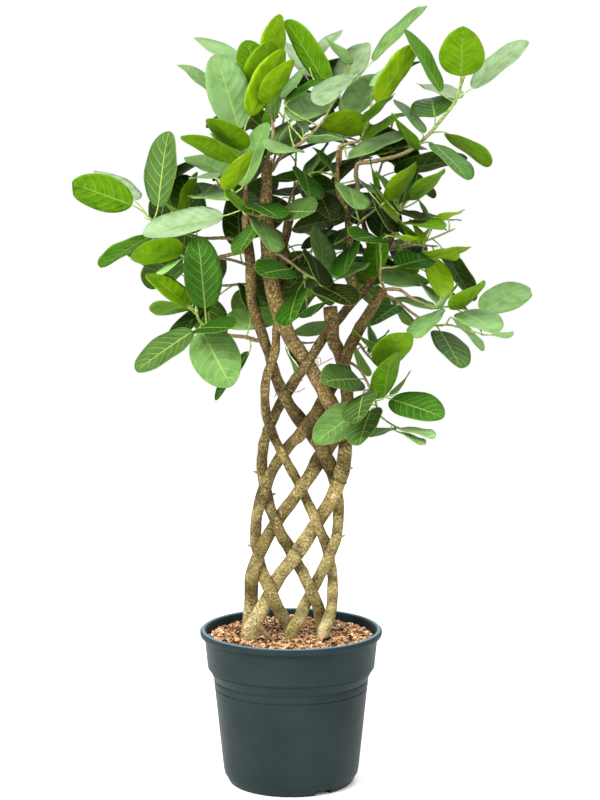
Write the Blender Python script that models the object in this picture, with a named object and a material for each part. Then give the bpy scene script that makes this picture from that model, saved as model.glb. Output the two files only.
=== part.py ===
"""Potted bengal fig: a nursery pot with soil, six woven stems and a crown of leafy shoots.

Metres, +Z up. The origin is the middle of the pot's underside, on the floor. The front is -Y.
The photographed side of the plant is placed from pixel coordinates in the photo's 600 by 800
frame, each with its depth `back` in metres behind the pot's middle. The far side follows a rule.
"""

import math
import random

import bmesh
import bpy
import numpy as np
from mathutils import Matrix, Vector, noise
from mathutils.bvhtree import BVHTree

# The photo's view, which turns a pixel and a depth into a place
VIEW_MIDDLE = (300, 400)
VIEW_FOCAL = 1966
VIEW_EYE = Vector((0.0166, -3.6, 1.15))
VIEW_PITCH = math.radians(6.83)

# Pot
POT_SEGMENTS = 30
LIP_RADIUS = 0.170
POT_HEIGHT = 0.290
FOOT_RADIUS = 0.117
RECESS = 0.010
FLOOR_TOP = 0.013
NOTCH_WIDTH = 0.034
NOTCH_HEIGHT = 0.0097
NOTCH_ANGLES = (30, 150, 270)
DRAIN_RADIUS = 0.006
DRAIN_CIRCLE = 0.072
DRAIN_COUNT = 6
DRAIN_SIDES = 8

# Soil
SOIL_LEVEL = 0.273
SOIL_SEGMENTS = POT_SEGMENTS // 2
SOIL_BUMP = 0.004
CHIP_COUNT = 20
CHIP_LENGTH = (0.016, 0.030)
SEED = 41

# Clear space that touching pieces keep
GAP = 0.0004

# Woven stems: six stems in a flat lattice, two at each of three feet. A stem swings across the
# lattice as the sine of its angle, which grows by ROW_TURN from one row of crossings to the next.
STEMS = 6
ROW_TURN = 30
ROWS = (632, 590, 555, 523, 487, 452, 427, 396, 362, 330, 297)
LATTICE_LEAN = ((620, 291), (560, 292.5), (520, 297.5), (480, 301), (440, 305), (400, 306), (300, 308))
LATTICE_REACH = 0.0765
LATTICE_BULGE = 0.012
WEAVE = 0.0090
WEAVE_EDGE = 0.0152
WEAVE_HOLD = 0.3
STEM_WIDE = 0.0115
STEM_STOUT = (0.95, 0.92, 0.98, 0.95, 1.04, 1.14)
STEM_DEEP = 0.0078
STEM_SIDES = 6
STEM_BURIED = 0.055
FOOT_SPREAD = 0.0135
FOOT_SHIFT = (0.000, -0.006, -0.006, 0.000, -0.011, -0.011)
FOOT_STOUT = 1.15

# Above the weave each stem follows its own route: pixel x, pixel y, back, radius.
# The first number is the row at which it leaves the weave.
STEM_TOPS = {
    "stem_1": (8.3, ((259, 325, 0.000, 0.0098), (252, 300, -0.004, 0.0098), (250, 262, -0.008, 0.0096),
                     (247, 230, -0.010, 0.0088), (246, 205, -0.012, 0.0060), (246, 190, -0.014, 0.0045))),
    "stem_2": (8.3, ((277, 325, 0.012, 0.0080), (279, 298, 0.020, 0.0080), (283, 262, 0.028, 0.0075),
                     (286, 230, 0.034, 0.0060), (288, 206, 0.036, 0.0046))),
    "stem_3": (8.7, ((329, 332, 0.008, 0.0088), (343, 314, 0.013, 0.0085), (353, 302, 0.014, 0.0082),
                     (367, 287, 0.018, 0.0075),
                     (382, 258, 0.026, 0.0062), (393, 235, 0.032, 0.0050))),
    "stem_4": (7.7, ((351, 345, -0.012, 0.0105), (362, 325, -0.014, 0.0105), (372, 308, -0.015, 0.0098),
                     (383, 291, -0.016, 0.0085))),
    "stem_5": (8.7, ((332, 325, -0.020, 0.0128), (330, 307, -0.022, 0.0125))),
    "stem_6": (8.3, ((289, 336, -0.014, 0.0140), (280, 314, -0.019, 0.0150), (272, 285, -0.020, 0.0145),
                     (268, 250, -0.020, 0.0135), (266, 205, -0.018, 0.0115), (267, 160, -0.016, 0.0090))),
}

# Branches that fork off a stem above the weave: pixel x, pixel y, back, radius
FORKS = {
    "stem_1": (((252, 298, -0.004, 0.0075), (253, 282, 0.040, 0.0070), (251, 258, 0.085, 0.0060),
                (249, 238, 0.115, 0.0048)),),
    "stem_2": (((281, 282, 0.024, 0.0068), (279, 266, 0.065, 0.0064), (285, 244, 0.105, 0.0056),
                (291, 222, 0.132, 0.0046)),),
    "stem_3": (((354, 301, 0.014, 0.0080), (353, 285, 0.012, 0.0078), (351, 262, 0.014, 0.0072),
                (349, 232, 0.018, 0.0062), (345, 205, 0.020, 0.0052), (338, 190, 0.020, 0.0048),
                (338, 150, 0.018, 0.0042)),
               ((370, 281, 0.020, 0.0062), (372, 262, 0.060, 0.0058), (368, 240, 0.095, 0.0052),
                (362, 218, 0.125, 0.0044))),
    "stem_6": (((268, 252, -0.020, 0.0085), (263, 232, 0.030, 0.0075), (262, 205, 0.075, 0.0060),
                (268, 180, 0.105, 0.0046)),),
}

# Leaves: outline as share of the length, and of the half width there
BLADE_STATIONS = ((0.11, 0.64), (0.45, 1.00), (0.84, 0.72))
LEAF_LENGTH = 0.128
LEAF_ASPECT = 0.56
LEAF_THICK = 0.0018
LEAF_ARCH = 0.01
LEAF_FOLD = 0.15
STALK_RADIUS = 0.0013
STALK_LENGTH = 0.030
TWIG_SIDES = 4
BUD_LENGTH = 0.012

# Shoots of the photographed side. `twig` is pixel x, pixel y, back; `radius` its two ends.
# A leaf is the side that shows (u upper, l lower), base x, y, tip x, y, width in pixels,
# and, where its stalk doesn't start at the nearest point of the twig, the stalk's start x, y.
SHOOTS = {
    "left_top": {
        "twig": ((246, 187, -0.014), (244, 150, -0.016), (241, 135, -0.006), (239, 112, 0.009)),
        "radius": (0.0034, 0.0018),
        "leaves": (
            ("u", 239, 129, 216, 54, 42), ("u", 230, 106, 180, 63, 14, 240, 120),
            ("l", 250, 115, 284, 50, 26, 243, 140), ("l", 240, 150, 213, 118, 25),
            ("l", 231, 163, 184, 135, 18), ("u", 228, 175, 189, 156, 20), ("u", 238, 157, 219, 136, 18),
        ),
    },
    "top_left": {
        "twig": ((268, 157, -0.016), (273, 135, 0.013), (272, 120, 0.033), (268, 103, 0.058),
                 (262, 86, 0.078), (255, 74, 0.088)),
        "radius": (0.0036, 0.0016),
        "leaves": (
            ("l", 256, 100, 270, 41, 34, 266, 98), ("l", 258, 92, 248, 40, 34), ("u", 243, 68, 197, 37, 15),
            ("l", 273, 76, 277, 14, 25), ("l", 268, 103, 288, 60, 22), ("u", 275, 120, 277, 90, 20),
        ),
    },
    "top_centre": {
        "twig": ((270, 171, -0.020), (280, 158, -0.025), (293, 148, -0.020), (305, 140, -0.015),
                 (318, 127, -0.005), (325, 118, 0.000), (333, 103, 0.010), (340, 93, 0.015),
                 (347, 80, 0.020), (350, 63, 0.022)),
        "radius": (0.0034, 0.0018),
        "leaves": (
            ("l", 328, 88, 286, 20, 24, 334, 101), ("u", 312, 62, 340, 30, 12, 333, 103),
            ("u", 285, 98, 310, 62, 10, 318, 127), ("u", 305, 75, 290, 42, 22, 333, 103),
            ("l", 345, 63, 330, 39, 12, 347, 78), ("u", 345, 88, 362, 42, 30),
            ("u", 343, 75, 322, 104, 26), ("u", 349, 118, 374, 72, 30, 340, 93),
            ("u", 373, 61, 427, 5, 12, 347, 83), ("u", 292, 120, 328, 95, 30, 293, 148),
            ("u", 288, 102, 322, 78, 8, 305, 140), ("u", 302, 130, 284, 95, 10, 305, 140),
            ("l", 310, 143, 344, 138, 9), ("u", 293, 148, 272, 150, 16), ("u", 272, 145, 290, 118, 14),
            ("u", 290, 147, 295, 121, 22), ("l", 325, 118, 366, 132, 28), ("u", 316, 136, 357, 132, 16),
        ),
    },
    "left_fore": {
        "twig": ((262, 218, -0.036), (250, 213, -0.048), (243, 208, -0.058), (237, 200, -0.070),
                 (234, 192, -0.078)),
        "radius": (0.0032, 0.0018),
        "leaves": (
            ("u", 223, 216, 143, 234, 25, 243, 210), ("l", 234, 188, 243, 154, 24),
            ("u", 243, 186, 266, 122, 28), ("u", 259, 221, 272, 249, 22), ("u", 258, 222, 238, 254, 16),
            ("u", 243, 212, 226, 188, 18), ("u", 252, 211, 240, 185, 22), ("u", 256, 204, 279, 218, 20),
            ("u", 281, 212, 313, 212, 24, 258, 217), ("u", 215, 178, 195, 177, 8),
            ("u", 226, 200, 192, 194, 13),
        ),
    },
    "far_left": {
        "twig": ((244, 240, 0.000), (225, 238, 0.000), (196, 237, -0.005), (159, 222, -0.015),
                 (150, 219, -0.018)),
        "radius": (0.0040, 0.0020),
        "leaves": (
            ("l", 132, 205, 71, 183, 36), ("u", 134, 200, 99, 171, 18), ("u", 158, 207, 168, 131, 31),
            ("l", 178, 218, 170, 205, 12), ("l", 183, 213, 196, 172, 12, 196, 237),
        ),
    },
    "left_mid": {
        "twig": ((243, 252, -0.012), (220, 257, -0.030), (200, 262, -0.045), (186, 258, -0.055),
                 (168, 246, -0.060)),
        "radius": (0.0040, 0.0020),
        "leaves": (
            ("l", 151, 235, 101, 266, 16), ("l", 180, 255, 133, 252, 27, 190, 260),
            ("l", 187, 262, 170, 282, 18, 200, 262), ("u", 184, 258, 163, 273, 5),
        ),
    },
    "left_low": {
        "twig": ((258, 340, 0.000), (245, 337, -0.020), (228, 335, -0.040), (208, 328, -0.060),
                 (199, 320, -0.068), (197, 312, -0.072)),
        "radius": (0.0042, 0.0022),
        "leaves": (
            ("u", 205, 308, 198, 236, 40, 206, 327), ("u", 188, 307, 150, 273, 22, 197, 316),
            ("l", 185, 305, 157, 315, 20), ("u", 193, 331, 136, 371, 26, 210, 330),
            ("u", 202, 331, 231, 386, 48, 214, 331), ("u", 200, 328, 231, 328, 18),
            ("u", 249, 352, 215, 400, 12, 250, 338), ("u", 228, 328, 282, 311, 27),
            ("u", 250, 312, 244, 285, 18, 245, 337),
        ),
    },
    "centre_front": {
        "twig": ((278, 254, -0.030), (290, 262, -0.044), (303, 272, -0.059), (315, 279, -0.069),
                 (323, 283, -0.074)),
        "radius": (0.0032, 0.0018),
        "leaves": (
            ("u", 290, 269, 261, 274, 24), ("u", 323, 271, 319, 228, 24), ("u", 338, 279, 363, 262, 18),
            ("u", 321, 286, 352, 303, 24), ("l", 322, 288, 303, 298, 10), ("u", 297, 293, 289, 323, 24),
            ("l", 311, 316, 325, 300, 14, 303, 272),
        ),
    },
    "weave_top": {
        "twig": ((300, 338, 0.030), (309, 343, 0.052), (322, 341, 0.058)),
        "radius": (0.0024, 0.0014),
        "leaves": (
            ("u", 326, 333, 294, 329, 19), ("u", 291, 345, 304, 371, 15, 309, 343),
            ("l", 287, 352, 297, 378, 5, 304, 340),
        ),
    },
    "centre_dark": {
        "twig": ((289, 202, 0.036), (295, 186, 0.036), (305, 177, 0.036), (316, 172, 0.036),
                 (330, 174, 0.036)),
        "radius": (0.0030, 0.0016),
        "leaves": (
            ("u", 304, 173, 310, 196, 24), ("u", 317, 190, 331, 219, 28), ("l", 297, 180, 272, 178, 14),
            ("u", 293, 196, 270, 190, 14), ("u", 313, 170, 322, 148, 14), ("u", 322, 170, 337, 150, 14),
            ("u", 336, 176, 313, 147, 7),
        ),
    },
    "centre_low": {
        "twig": ((291, 262, 0.028), (300, 256, 0.008), (312, 251, -0.012)),
        "radius": (0.0028, 0.0016),
        "leaves": (
            ("u", 312, 256, 320, 284, 20), ("u", 300, 258, 290, 286, 16), ("u", 313, 247, 326, 228, 16),
        ),
    },
    "centre_right": {
        "twig": ((352, 233, 0.020), (360, 222, 0.008), (372, 212, -0.002), (380, 206, -0.007)),
        "radius": (0.0030, 0.0016),
        "leaves": (
            ("u", 350, 188, 355, 207, 30, 360, 222), ("u", 352, 214, 378, 196, 14),
            ("u", 380, 208, 388, 228, 14), ("u", 334, 244, 347, 225, 16, 354, 230),
            ("u", 351, 246, 344, 273, 22),
        ),
    },
    "right_top": {
        "twig": ((350, 201, 0.020), (358, 188, 0.012), (356, 176, 0.007), (358, 164, 0.004),
                 (370, 162, 0.002), (385, 159, 0.000), (400, 155, -0.003), (412, 149, -0.006),
                 (422, 141, -0.008), (432, 131, -0.010), (441, 120, -0.013), (450, 109, -0.016),
                 (455, 101, -0.018), (460, 88, -0.018), (463, 79, -0.018)),
        "radius": (0.0046, 0.0024),
        "leaves": (
            ("l", 461, 76, 463, 26, 45, 459, 90), ("u", 472, 88, 528, 41, 20, 458, 99),
            ("u", 441, 92, 405, 29, 14, 455, 102), ("u", 456, 99, 423, 83, 14, 450, 109),
            ("u", 435, 117, 431, 97, 45, 436, 129), ("u", 422, 133, 396, 100, 11, 422, 140),
            ("l", 410, 146, 398, 119, 14, 414, 149), ("l", 449, 134, 487, 165, 17, 430, 134),
            ("u", 434, 144, 468, 178, 17, 419, 145), ("u", 361, 158, 390, 151, 7),
            ("u", 338, 182, 357, 158, 12, 357, 180),
        ),
    },
    "right_upper": {
        "twig": ((339, 146, 0.018), (350, 143, 0.010), (360, 140, 0.003), (367, 122, -0.007),
                 (371, 109, -0.012)),
        "radius": (0.0032, 0.0018),
        "leaves": (
            ("l", 377, 103, 417, 44, 22, 369, 118), ("u", 375, 85, 395, 60, 8),
            ("l", 368, 121, 391, 95, 10), ("u", 366, 140, 405, 111, 9),
            ("u", 350, 158, 409, 132, 14, 345, 144),
        ),
    },
    "right_mid": {
        "twig": ((394, 231, 0.034), (397, 220, 0.030), (400, 208, 0.025)),
        "radius": (0.0032, 0.0018),
        "leaves": (
            ("u", 394, 221, 371, 183, 8), ("u", 368, 190, 361, 180, 8, 396, 222),
            ("l", 374, 183, 372, 165, 8, 398, 214), ("u", 393, 200, 380, 173, 12),
            ("l", 398, 198, 407, 166, 24), ("u", 401, 210, 412, 171, 20, 397, 222),
            ("l", 419, 199, 437, 171, 20, 400, 210), ("l", 417, 197, 426, 218, 5, 400, 209),
            ("u", 401, 211, 419, 219, 10),
        ),
    },
    "right_mid_low": {
        "twig": ((398, 236, 0.033), (408, 243, 0.020), (420, 245, 0.010), (433, 246, 0.000)),
        "radius": (0.0032, 0.0018),
        "leaves": (
            ("l", 437, 223, 458, 211, 10, 424, 245), ("u", 405, 222, 442, 228, 10, 410, 243),
            ("l", 410, 240, 403, 221, 8), ("l", 420, 240, 413, 222, 9), ("l", 424, 240, 430, 226, 9),
            ("l", 400, 248, 409, 270, 13, 408, 243), ("l", 424, 253, 456, 259, 12),
            ("l", 442, 258, 466, 247, 11, 432, 246),
        ),
    },
    "right_centre": {
        "twig": ((384, 287, -0.017), (380, 278, -0.025), (381, 262, -0.033), (380, 248, -0.037)),
        "radius": (0.0032, 0.0018),
        "leaves": (
            ("u", 378, 275, 376, 237, 24), ("u", 377, 237, 355, 239, 20), ("u", 385, 283, 427, 277, 22),
            ("u", 373, 285, 350, 275, 18), ("u", 398, 266, 432, 258, 22, 381, 268),
            ("l", 392, 236, 409, 241, 13, 380, 248),
        ),
    },
    "right_low": {
        "twig": ((386, 290, -0.016), (400, 290, -0.023), (410, 297, -0.027), (420, 302, -0.030),
                 (433, 308, -0.033), (443, 307, -0.035), (458, 306, -0.037)),
        "radius": (0.0036, 0.0020),
        "leaves": (
            ("u", 440, 297, 432, 251, 27), ("u", 437, 304, 424, 284, 12, 428, 306),
            ("l", 443, 305, 453, 289, 7), ("l", 463, 308, 474, 284, 25, 452, 307),
            ("u", 482, 312, 530, 286, 31, 458, 306), ("u", 462, 312, 497, 331, 24, 450, 307),
            ("u", 431, 309, 394, 297, 10, 424, 304),
        ),
    },
    "right_low_side": {
        "twig": ((387, 296, -0.011), (397, 301, 0.000), (415, 315, 0.010), (434, 325, 0.017),
                 (450, 325, 0.023), (470, 331, 0.027)),
        "radius": (0.0034, 0.0018),
        "leaves": (
            ("l", 453, 318, 482, 350, 8, 446, 325), ("l", 488, 335, 507, 337, 6),
            ("u", 440, 331, 461, 368, 27, 434, 325), ("u", 434, 312, 420, 336, 24),
            ("l", 397, 304, 402, 322, 8), ("l", 404, 309, 411, 327, 8), ("l", 397, 305, 369, 325, 20),
        ),
    },
    "low_right": {
        "twig": ((357, 343, -0.010), (365, 352, -0.017), (375, 363, -0.024), (383, 372, -0.030)),
        "radius": (0.0028, 0.0016),
        "leaves": (
            ("l", 385, 368, 402, 331, 34), ("l", 372, 350, 362, 336, 14), ("l", 358, 350, 360, 369, 16),
            ("l", 370, 344, 372, 326, 10), ("l", 375, 350, 384, 334, 10),
        ),
    },
    "low_right_long": {
        "twig": ((353, 364, -0.009), (360, 370, -0.019), (367, 382, -0.026), (372, 393, -0.032),
                 (376, 403, -0.036), (378, 413, -0.039), (385, 420, -0.042), (396, 427, -0.044)),
        "radius": (0.0030, 0.0016),
        "leaves": (
            ("l", 384, 397, 391, 355, 26), ("u", 398, 392, 406, 376, 8, 374, 398),
            ("u", 391, 399, 443, 417, 30, 374, 395), ("u", 365, 407, 315, 442, 35, 376, 405),
            ("u", 363, 394, 358, 422, 30), ("u", 371, 410, 359, 444, 28, 377, 410),
            ("u", 359, 379, 324, 381, 29, 366, 379), ("u", 400, 428, 432, 437, 8),
            ("u", 396, 431, 420, 443, 5), ("l", 390, 428, 371, 437, 12),
        ),
    },
}

# Shoots of the far side: start pixel x, y, back, heading in degrees (0 away from the front, 90 to
# the right), rise in degrees, length, number of leaves.
FAR_SHOOTS = {
    "far_shoot_01": (249, 237, 0.116, -45, 55, 0.20, 6),
    "far_shoot_02": (251, 262, 0.080, -75, 15, 0.19, 5),
    "far_shoot_03": (253, 282, 0.042, -50, 0, 0.16, 5),
    "far_shoot_04": (292, 221, 0.133, 5, 60, 0.20, 7),
    "far_shoot_05": (284, 248, 0.100, 0, 10, 0.20, 7),
    "far_shoot_06": (361, 217, 0.126, 35, 60, 0.20, 6),
    "far_shoot_07": (370, 252, 0.080, 70, 15, 0.17, 5),
    "far_shoot_08": (372, 264, 0.058, 45, 0, 0.16, 5),
    "far_shoot_09": (268, 179, 0.106, 15, 50, 0.20, 6),
    "far_shoot_10": (338, 162, 0.020, 10, 40, 0.20, 7),
    "far_shoot_11": (352, 270, 0.022, -10, 5, 0.22, 8),
}
FAR_LEAF_LENGTH = (0.118, 0.142)
FAR_STALK = (0.028, 0.042)
FAR_DROOP = (-0.9, 0.1)
FAR_RADIUS = (0.0032, 0.0016)
FAR_STEPS = 5
FAR_BEND = 0.35
FAR_TURN = 8
FAR_TURNS = 16
FAR_TRIES = 60
GOLDEN = 137.5
SCREENED = 0.6
RAY_START = 0.002
DARK_MIDDLE = (262, 146, 404, 272)

# Colours: red, green, blue, roughness
COLOURS = {
    "pot": (0.055, 0.085, 0.095, 0.45),
    "soil": (0.095, 0.045, 0.025, 0.95),
    "wood": (0.33, 0.27, 0.17, 0.85),
    "leaf": (0.075, 0.20, 0.035, 0.45),
    "far_leaf": (0.045, 0.13, 0.03, 0.45),
}


def at(px, py, back):
    """The place seen at a pixel of the photo, `back` metres behind the pot's middle."""
    forward = Vector((0, math.cos(VIEW_PITCH), -math.sin(VIEW_PITCH)))
    upward = Vector((0, math.sin(VIEW_PITCH), math.cos(VIEW_PITCH)))
    right = (px - VIEW_MIDDLE[0]) / VIEW_FOCAL
    up = (VIEW_MIDDLE[1] - py) / VIEW_FOCAL
    ray = forward + Vector((right, 0, 0)) + upward * up
    return VIEW_EYE + ray * ((back - VIEW_EYE.y) / ray.y)


def mark_of(place):
    """The pixel at which a place is seen, and its depth: the other way round."""
    forward = Vector((0, math.cos(VIEW_PITCH), -math.sin(VIEW_PITCH)))
    upward = Vector((0, math.sin(VIEW_PITCH), math.cos(VIEW_PITCH)))
    away = place - VIEW_EYE
    scale = VIEW_FOCAL / away.dot(forward)
    return VIEW_MIDDLE[0] + away.x * scale, VIEW_MIDDLE[1] - away.dot(upward) * scale, place.y


def clear_scene():
    """Remove every object that the file opened with."""
    for old in list(bpy.data.objects):
        bpy.data.objects.remove(old, do_unlink=True)


def material(name):
    """A plain material in the named colour."""
    red, green, blue, rough = COLOURS[name]
    made = bpy.data.materials.get(name) or bpy.data.materials.new(name)
    made.use_nodes = True
    shader = made.node_tree.nodes["Principled BSDF"]
    shader.inputs["Base Color"].default_value = (red, green, blue, 1)
    shader.inputs["Roughness"].default_value = rough
    shader.inputs["Metallic"].default_value = 0.0
    return made


def mesh_object(name, corners, faces, colour):
    """An object made from corners and faces."""
    mesh = bpy.data.meshes.new(name)
    mesh.from_pydata([tuple(corner) for corner in corners], [], faces)
    mesh.materials.append(material(colour))
    made = bpy.data.objects.new(name, mesh)
    bpy.context.scene.collection.objects.link(made)
    return made


def smooth(made, degrees=40):
    """Shade round faces smooth and keep real edges sharp."""
    made.data.shade_smooth()
    made.data.set_sharp_from_angle(angle=math.radians(degrees))


def apply_boolean(target, operation, tools, solver="EXACT"):
    """Join the tools to the target, or cut them out of it, and remove them."""
    group = bpy.data.collections.new(target.name + "_tools")
    bpy.context.scene.collection.children.link(group)
    for tool in tools:
        group.objects.link(tool)
    change = target.modifiers.new("Boolean", "BOOLEAN")
    change.operation = operation
    change.operand_type = "COLLECTION"
    change.collection = group
    change.solver = solver
    bpy.context.view_layer.update()
    seen = target.evaluated_get(bpy.context.evaluated_depsgraph_get())
    mesh = bpy.data.meshes.new_from_object(seen)
    target.modifiers.clear()
    old = target.data
    target.data = mesh
    bpy.data.meshes.remove(old)
    for tool in tools:
        bpy.data.objects.remove(tool, do_unlink=True)
    bpy.data.collections.remove(group)


def turned(profile, segments):
    """Corners and faces of a profile turned about Z. It starts and ends on the axis."""
    corners = []
    for radius, height in profile[1:-1]:
        for step in range(segments):
            angle = 2 * math.pi * step / segments
            corners.append(Vector((radius * math.sin(angle), -radius * math.cos(angle), height)))
    bottom, top = len(corners), len(corners) + 1
    corners += [Vector((0, 0, profile[0][1])), Vector((0, 0, profile[-1][1]))]
    faces = []
    last = (len(profile) - 3) * segments
    for step in range(segments):
        after = (step + 1) % segments
        faces.append((bottom, after, step))
        faces.append((top, last + step, last + after))
        for low in range(0, last, segments):
            high = low + segments
            faces.append((low + step, low + after, high + after, high + step))
    return corners, faces


def section(centre, axis, hint, wide, deep, sides):
    """One section's corners, from the hint's side round the axis."""
    axis = axis.normalized()
    depth = (hint - axis * hint.dot(axis)).normalized()
    width = axis.cross(depth)
    angles = [2 * math.pi * side / sides for side in range(sides)]
    return [centre + depth * (deep * math.cos(a)) + width * (wide * math.sin(a)) for a in angles]


def loft(rings, tip=None):
    """Corners and triangles of a skin over rings, closed at the start and at the end or tip.

    Every square is split from the first ring's odd corner to the next ring's even corner,
    so that a thin blade's two faces fold along the same lines.
    """
    sides = len(rings[0])
    corners = [corner for ring in rings for corner in ring]
    faces = [(0, side + 1, side) for side in range(1, sides - 1)]
    for row in range(len(rings) - 1):
        for side in range(sides):
            here, there = row * sides, (row + 1) * sides
            after = (side + 1) % sides
            low, next_low, high, next_high = here + side, here + after, there + side, there + after
            if side % 2:
                faces += [(low, next_low, next_high), (low, next_high, high)]
            else:
                faces += [(low, next_low, high), (next_low, next_high, high)]
    end = (len(rings) - 1) * sides
    if tip is None:
        faces += [(end, end + side, end + side + 1) for side in range(1, sides - 1)]
    else:
        corners.append(tip)
        faces += [(end + side, end + (side + 1) % sides, len(corners) - 1) for side in range(sides)]
    return corners, faces


def tangents(points):
    """The direction of a route at each of its points."""
    ends = [points[0]] + list(points) + [points[-1]]
    return [(ends[i + 2] - ends[i]).normalized() for i in range(len(points))]


# Pot and soil

INSIDE = (
    (0.112, FLOOR_TOP), (0.1205, 0.0185), (0.1247, 0.030), (0.1422, 0.2005),
    (0.1490, 0.2070), (0.1527, 0.2180), (0.1592, 0.277),
)


def pot_profile():
    """The pot's section: underside, outside, lip and inside."""
    under = [(0, 0), (0.018, 0), (0.021, RECESS), (0.104, RECESS), (0.107, 0), (0.115, 0)]
    foot = [(FOOT_RADIUS, 0.002), (0.1205, 0.009), (0.1255, 0.017), (0.1275, 0.028)]
    wall = [
        (0.1430, 0.177), (0.1418, 0.180), (0.1434, 0.183), (0.1446, 0.192), (0.1434, 0.195),
        (0.1450, 0.198), (0.1500, 0.2032), (0.1543, 0.2095), (0.1560, 0.222), (0.1620, 0.2765),
    ]
    lip = [
        (LIP_RADIUS - 0.0015, 0.2772), (LIP_RADIUS, 0.2800), (LIP_RADIUS, 0.2865),
        (LIP_RADIUS - 0.004, POT_HEIGHT), (0.1618, 0.2893), (0.1592, 0.2860),
    ]
    return under + foot + wall + lip + list(reversed(INSIDE)) + [(0, FLOOR_TOP)]


def box(name, centre, size, turn, colour):
    """A box of the given size, turned by a matrix."""
    mesh = bpy.data.meshes.new(name)
    shape = bmesh.new()
    place = Matrix.Translation(centre) @ turn @ Matrix.Diagonal(size.to_4d())
    bmesh.ops.create_cube(shape, size=1.0, matrix=place)
    shape.to_mesh(mesh)
    shape.free()
    mesh.materials.append(material(colour))
    made = bpy.data.objects.new(name, mesh)
    bpy.context.scene.collection.objects.link(made)
    return made


def drain_cutter(number):
    """The cutter of one drain hole."""
    angle = 2 * math.pi * (number + 0.5) / DRAIN_COUNT
    middle = Vector((DRAIN_CIRCLE * math.sin(angle), DRAIN_CIRCLE * math.cos(angle), 0))
    low, high = middle + Vector((0, 0, RECESS - 0.002)), middle + Vector((0, 0, FLOOR_TOP + 0.002))
    up, front = Vector((0, 0, 1)), Vector((0, -1, 0))
    rings = [section(end, up, front, DRAIN_RADIUS, DRAIN_RADIUS, DRAIN_SIDES) for end in (low, high)]
    return mesh_object("drain", *loft(rings), "pot")


def notch_cutter(degrees):
    """The cutter of one arched notch in the foot."""
    turn = Matrix.Rotation(math.radians(degrees), 4, "Z")
    middle = turn @ Vector((0, -FOOT_RADIUS + 0.002, NOTCH_HEIGHT / 2 - 0.002))
    size = Vector((NOTCH_WIDTH, 0.026, NOTCH_HEIGHT + 0.004))
    return box("notch", middle, size, turn, "pot")


def build_pot():
    """The pot: a turned shell with notches in its foot and drain holes in its floor."""
    pot = mesh_object("pot", *turned(pot_profile(), POT_SEGMENTS), "pot")
    cutters = [notch_cutter(degrees) for degrees in NOTCH_ANGLES]
    cutters += [drain_cutter(number) for number in range(DRAIN_COUNT)]
    apply_boolean(pot, "DIFFERENCE", cutters)
    smooth(pot)


def soil_height(x, y):
    """The soil's bumpy top."""
    near = noise.noise(Vector((x * 40, y * 40, 3.7)))
    fine = noise.noise(Vector((x * 110, y * 110, 8.1)))
    return SOIL_LEVEL + SOIL_BUMP * near + 0.4 * SOIL_BUMP * fine


def soil_body():
    """The filling of the pot, clear of its wall."""
    profile = [(0, FLOOR_TOP + GAP)]
    profile += [(radius - GAP, height + GAP) for radius, height in INSIDE[:-1]]
    edge = INSIDE[-1][0] - GAP - 0.0012
    profile += [(edge, SOIL_LEVEL - 0.003)]
    profile += [(edge * share, SOIL_LEVEL) for share in (0.94, 0.80, 0.65, 0.50, 0.34, 0.17)]
    profile += [(0, SOIL_LEVEL)]
    corners, faces = turned(profile, SOIL_SEGMENTS)
    for corner in corners:
        if corner.z >= SOIL_LEVEL - 0.0001:
            corner.z = soil_height(corner.x, corner.y)
    return mesh_object("soil", corners, faces, "soil")


def chips(draw):
    """Bark chips that lie on the soil, clear of the stems."""
    made = []
    feet = [stem_centre(stem, 0.0) for stem in range(STEMS)]
    while len(made) < CHIP_COUNT:
        angle, reach = draw.uniform(0, 2 * math.pi), 0.132 * math.sqrt(draw.random())
        x, y = reach * math.sin(angle), -reach * math.cos(angle)
        length = draw.uniform(*CHIP_LENGTH)
        size = Vector((length, length * draw.uniform(0.4, 0.6), draw.uniform(0.004, 0.007)))
        turn = Matrix.Rotation(draw.uniform(0, math.pi), 4, "Z")
        turn = turn @ Matrix.Rotation(draw.uniform(-0.4, 0.4), 4, "Y")
        if min((Vector((x, y, 0)) - Vector((f.x, f.y, 0))).length for f in feet) < 0.014 + length / 2:
            continue
        middle = Vector((x, y, soil_height(x, y) + 0.0015))
        made.append(box("chip", middle, size, turn, "soil"))
    return made


def build_soil():
    """The soil with its chips and a plain hole for each stem."""
    soil = soil_body()
    apply_boolean(soil, "UNION", chips(random.Random(SEED)), "MANIFOLD")
    cutters = []
    for stem in range(STEMS):
        rings = [section(*ring, STEM_SIDES) for ring in stem_weave(stem, WEAVE_HOLD, GAP)]
        cutters.append(mesh_object("hole", *loft(rings), "soil"))
    apply_boolean(soil, "DIFFERENCE", cutters, "MANIFOLD")
    smooth(soil, 30)


# Woven stems

def row_place(row):
    """The middle of the lattice at a row, and its height."""
    py = float(np.interp(row, range(len(ROWS)), ROWS))
    lean = sorted(LATTICE_LEAN)
    px = float(np.interp(py, [mark[0] for mark in lean], [mark[1] for mark in lean]))
    return at(px, py, 0)


def crossing_side(stem, row):
    """Whether a stem passes a crossing on the front (-1) or behind (1). It is 0 at the edge."""
    across = round(math.cos(math.radians(stem * 360 / STEMS + ROW_TURN * row)), 3)
    if across == 0:
        return 0
    return (1 if row % 2 else -1) * (1 if across > 0 else -1)


def weave_depth(stem, mark):
    """A stem's offset in depth at a mark, which lies WEAVE_HOLD before or after a crossing."""
    row = round(mark)
    side = crossing_side(stem, row)
    beyond = crossing_side(stem, row + (1 if mark > row else -1))
    if side == 0:
        return WEAVE_EDGE * beyond
    return side * (WEAVE_EDGE if beyond == 0 else WEAVE)


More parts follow.
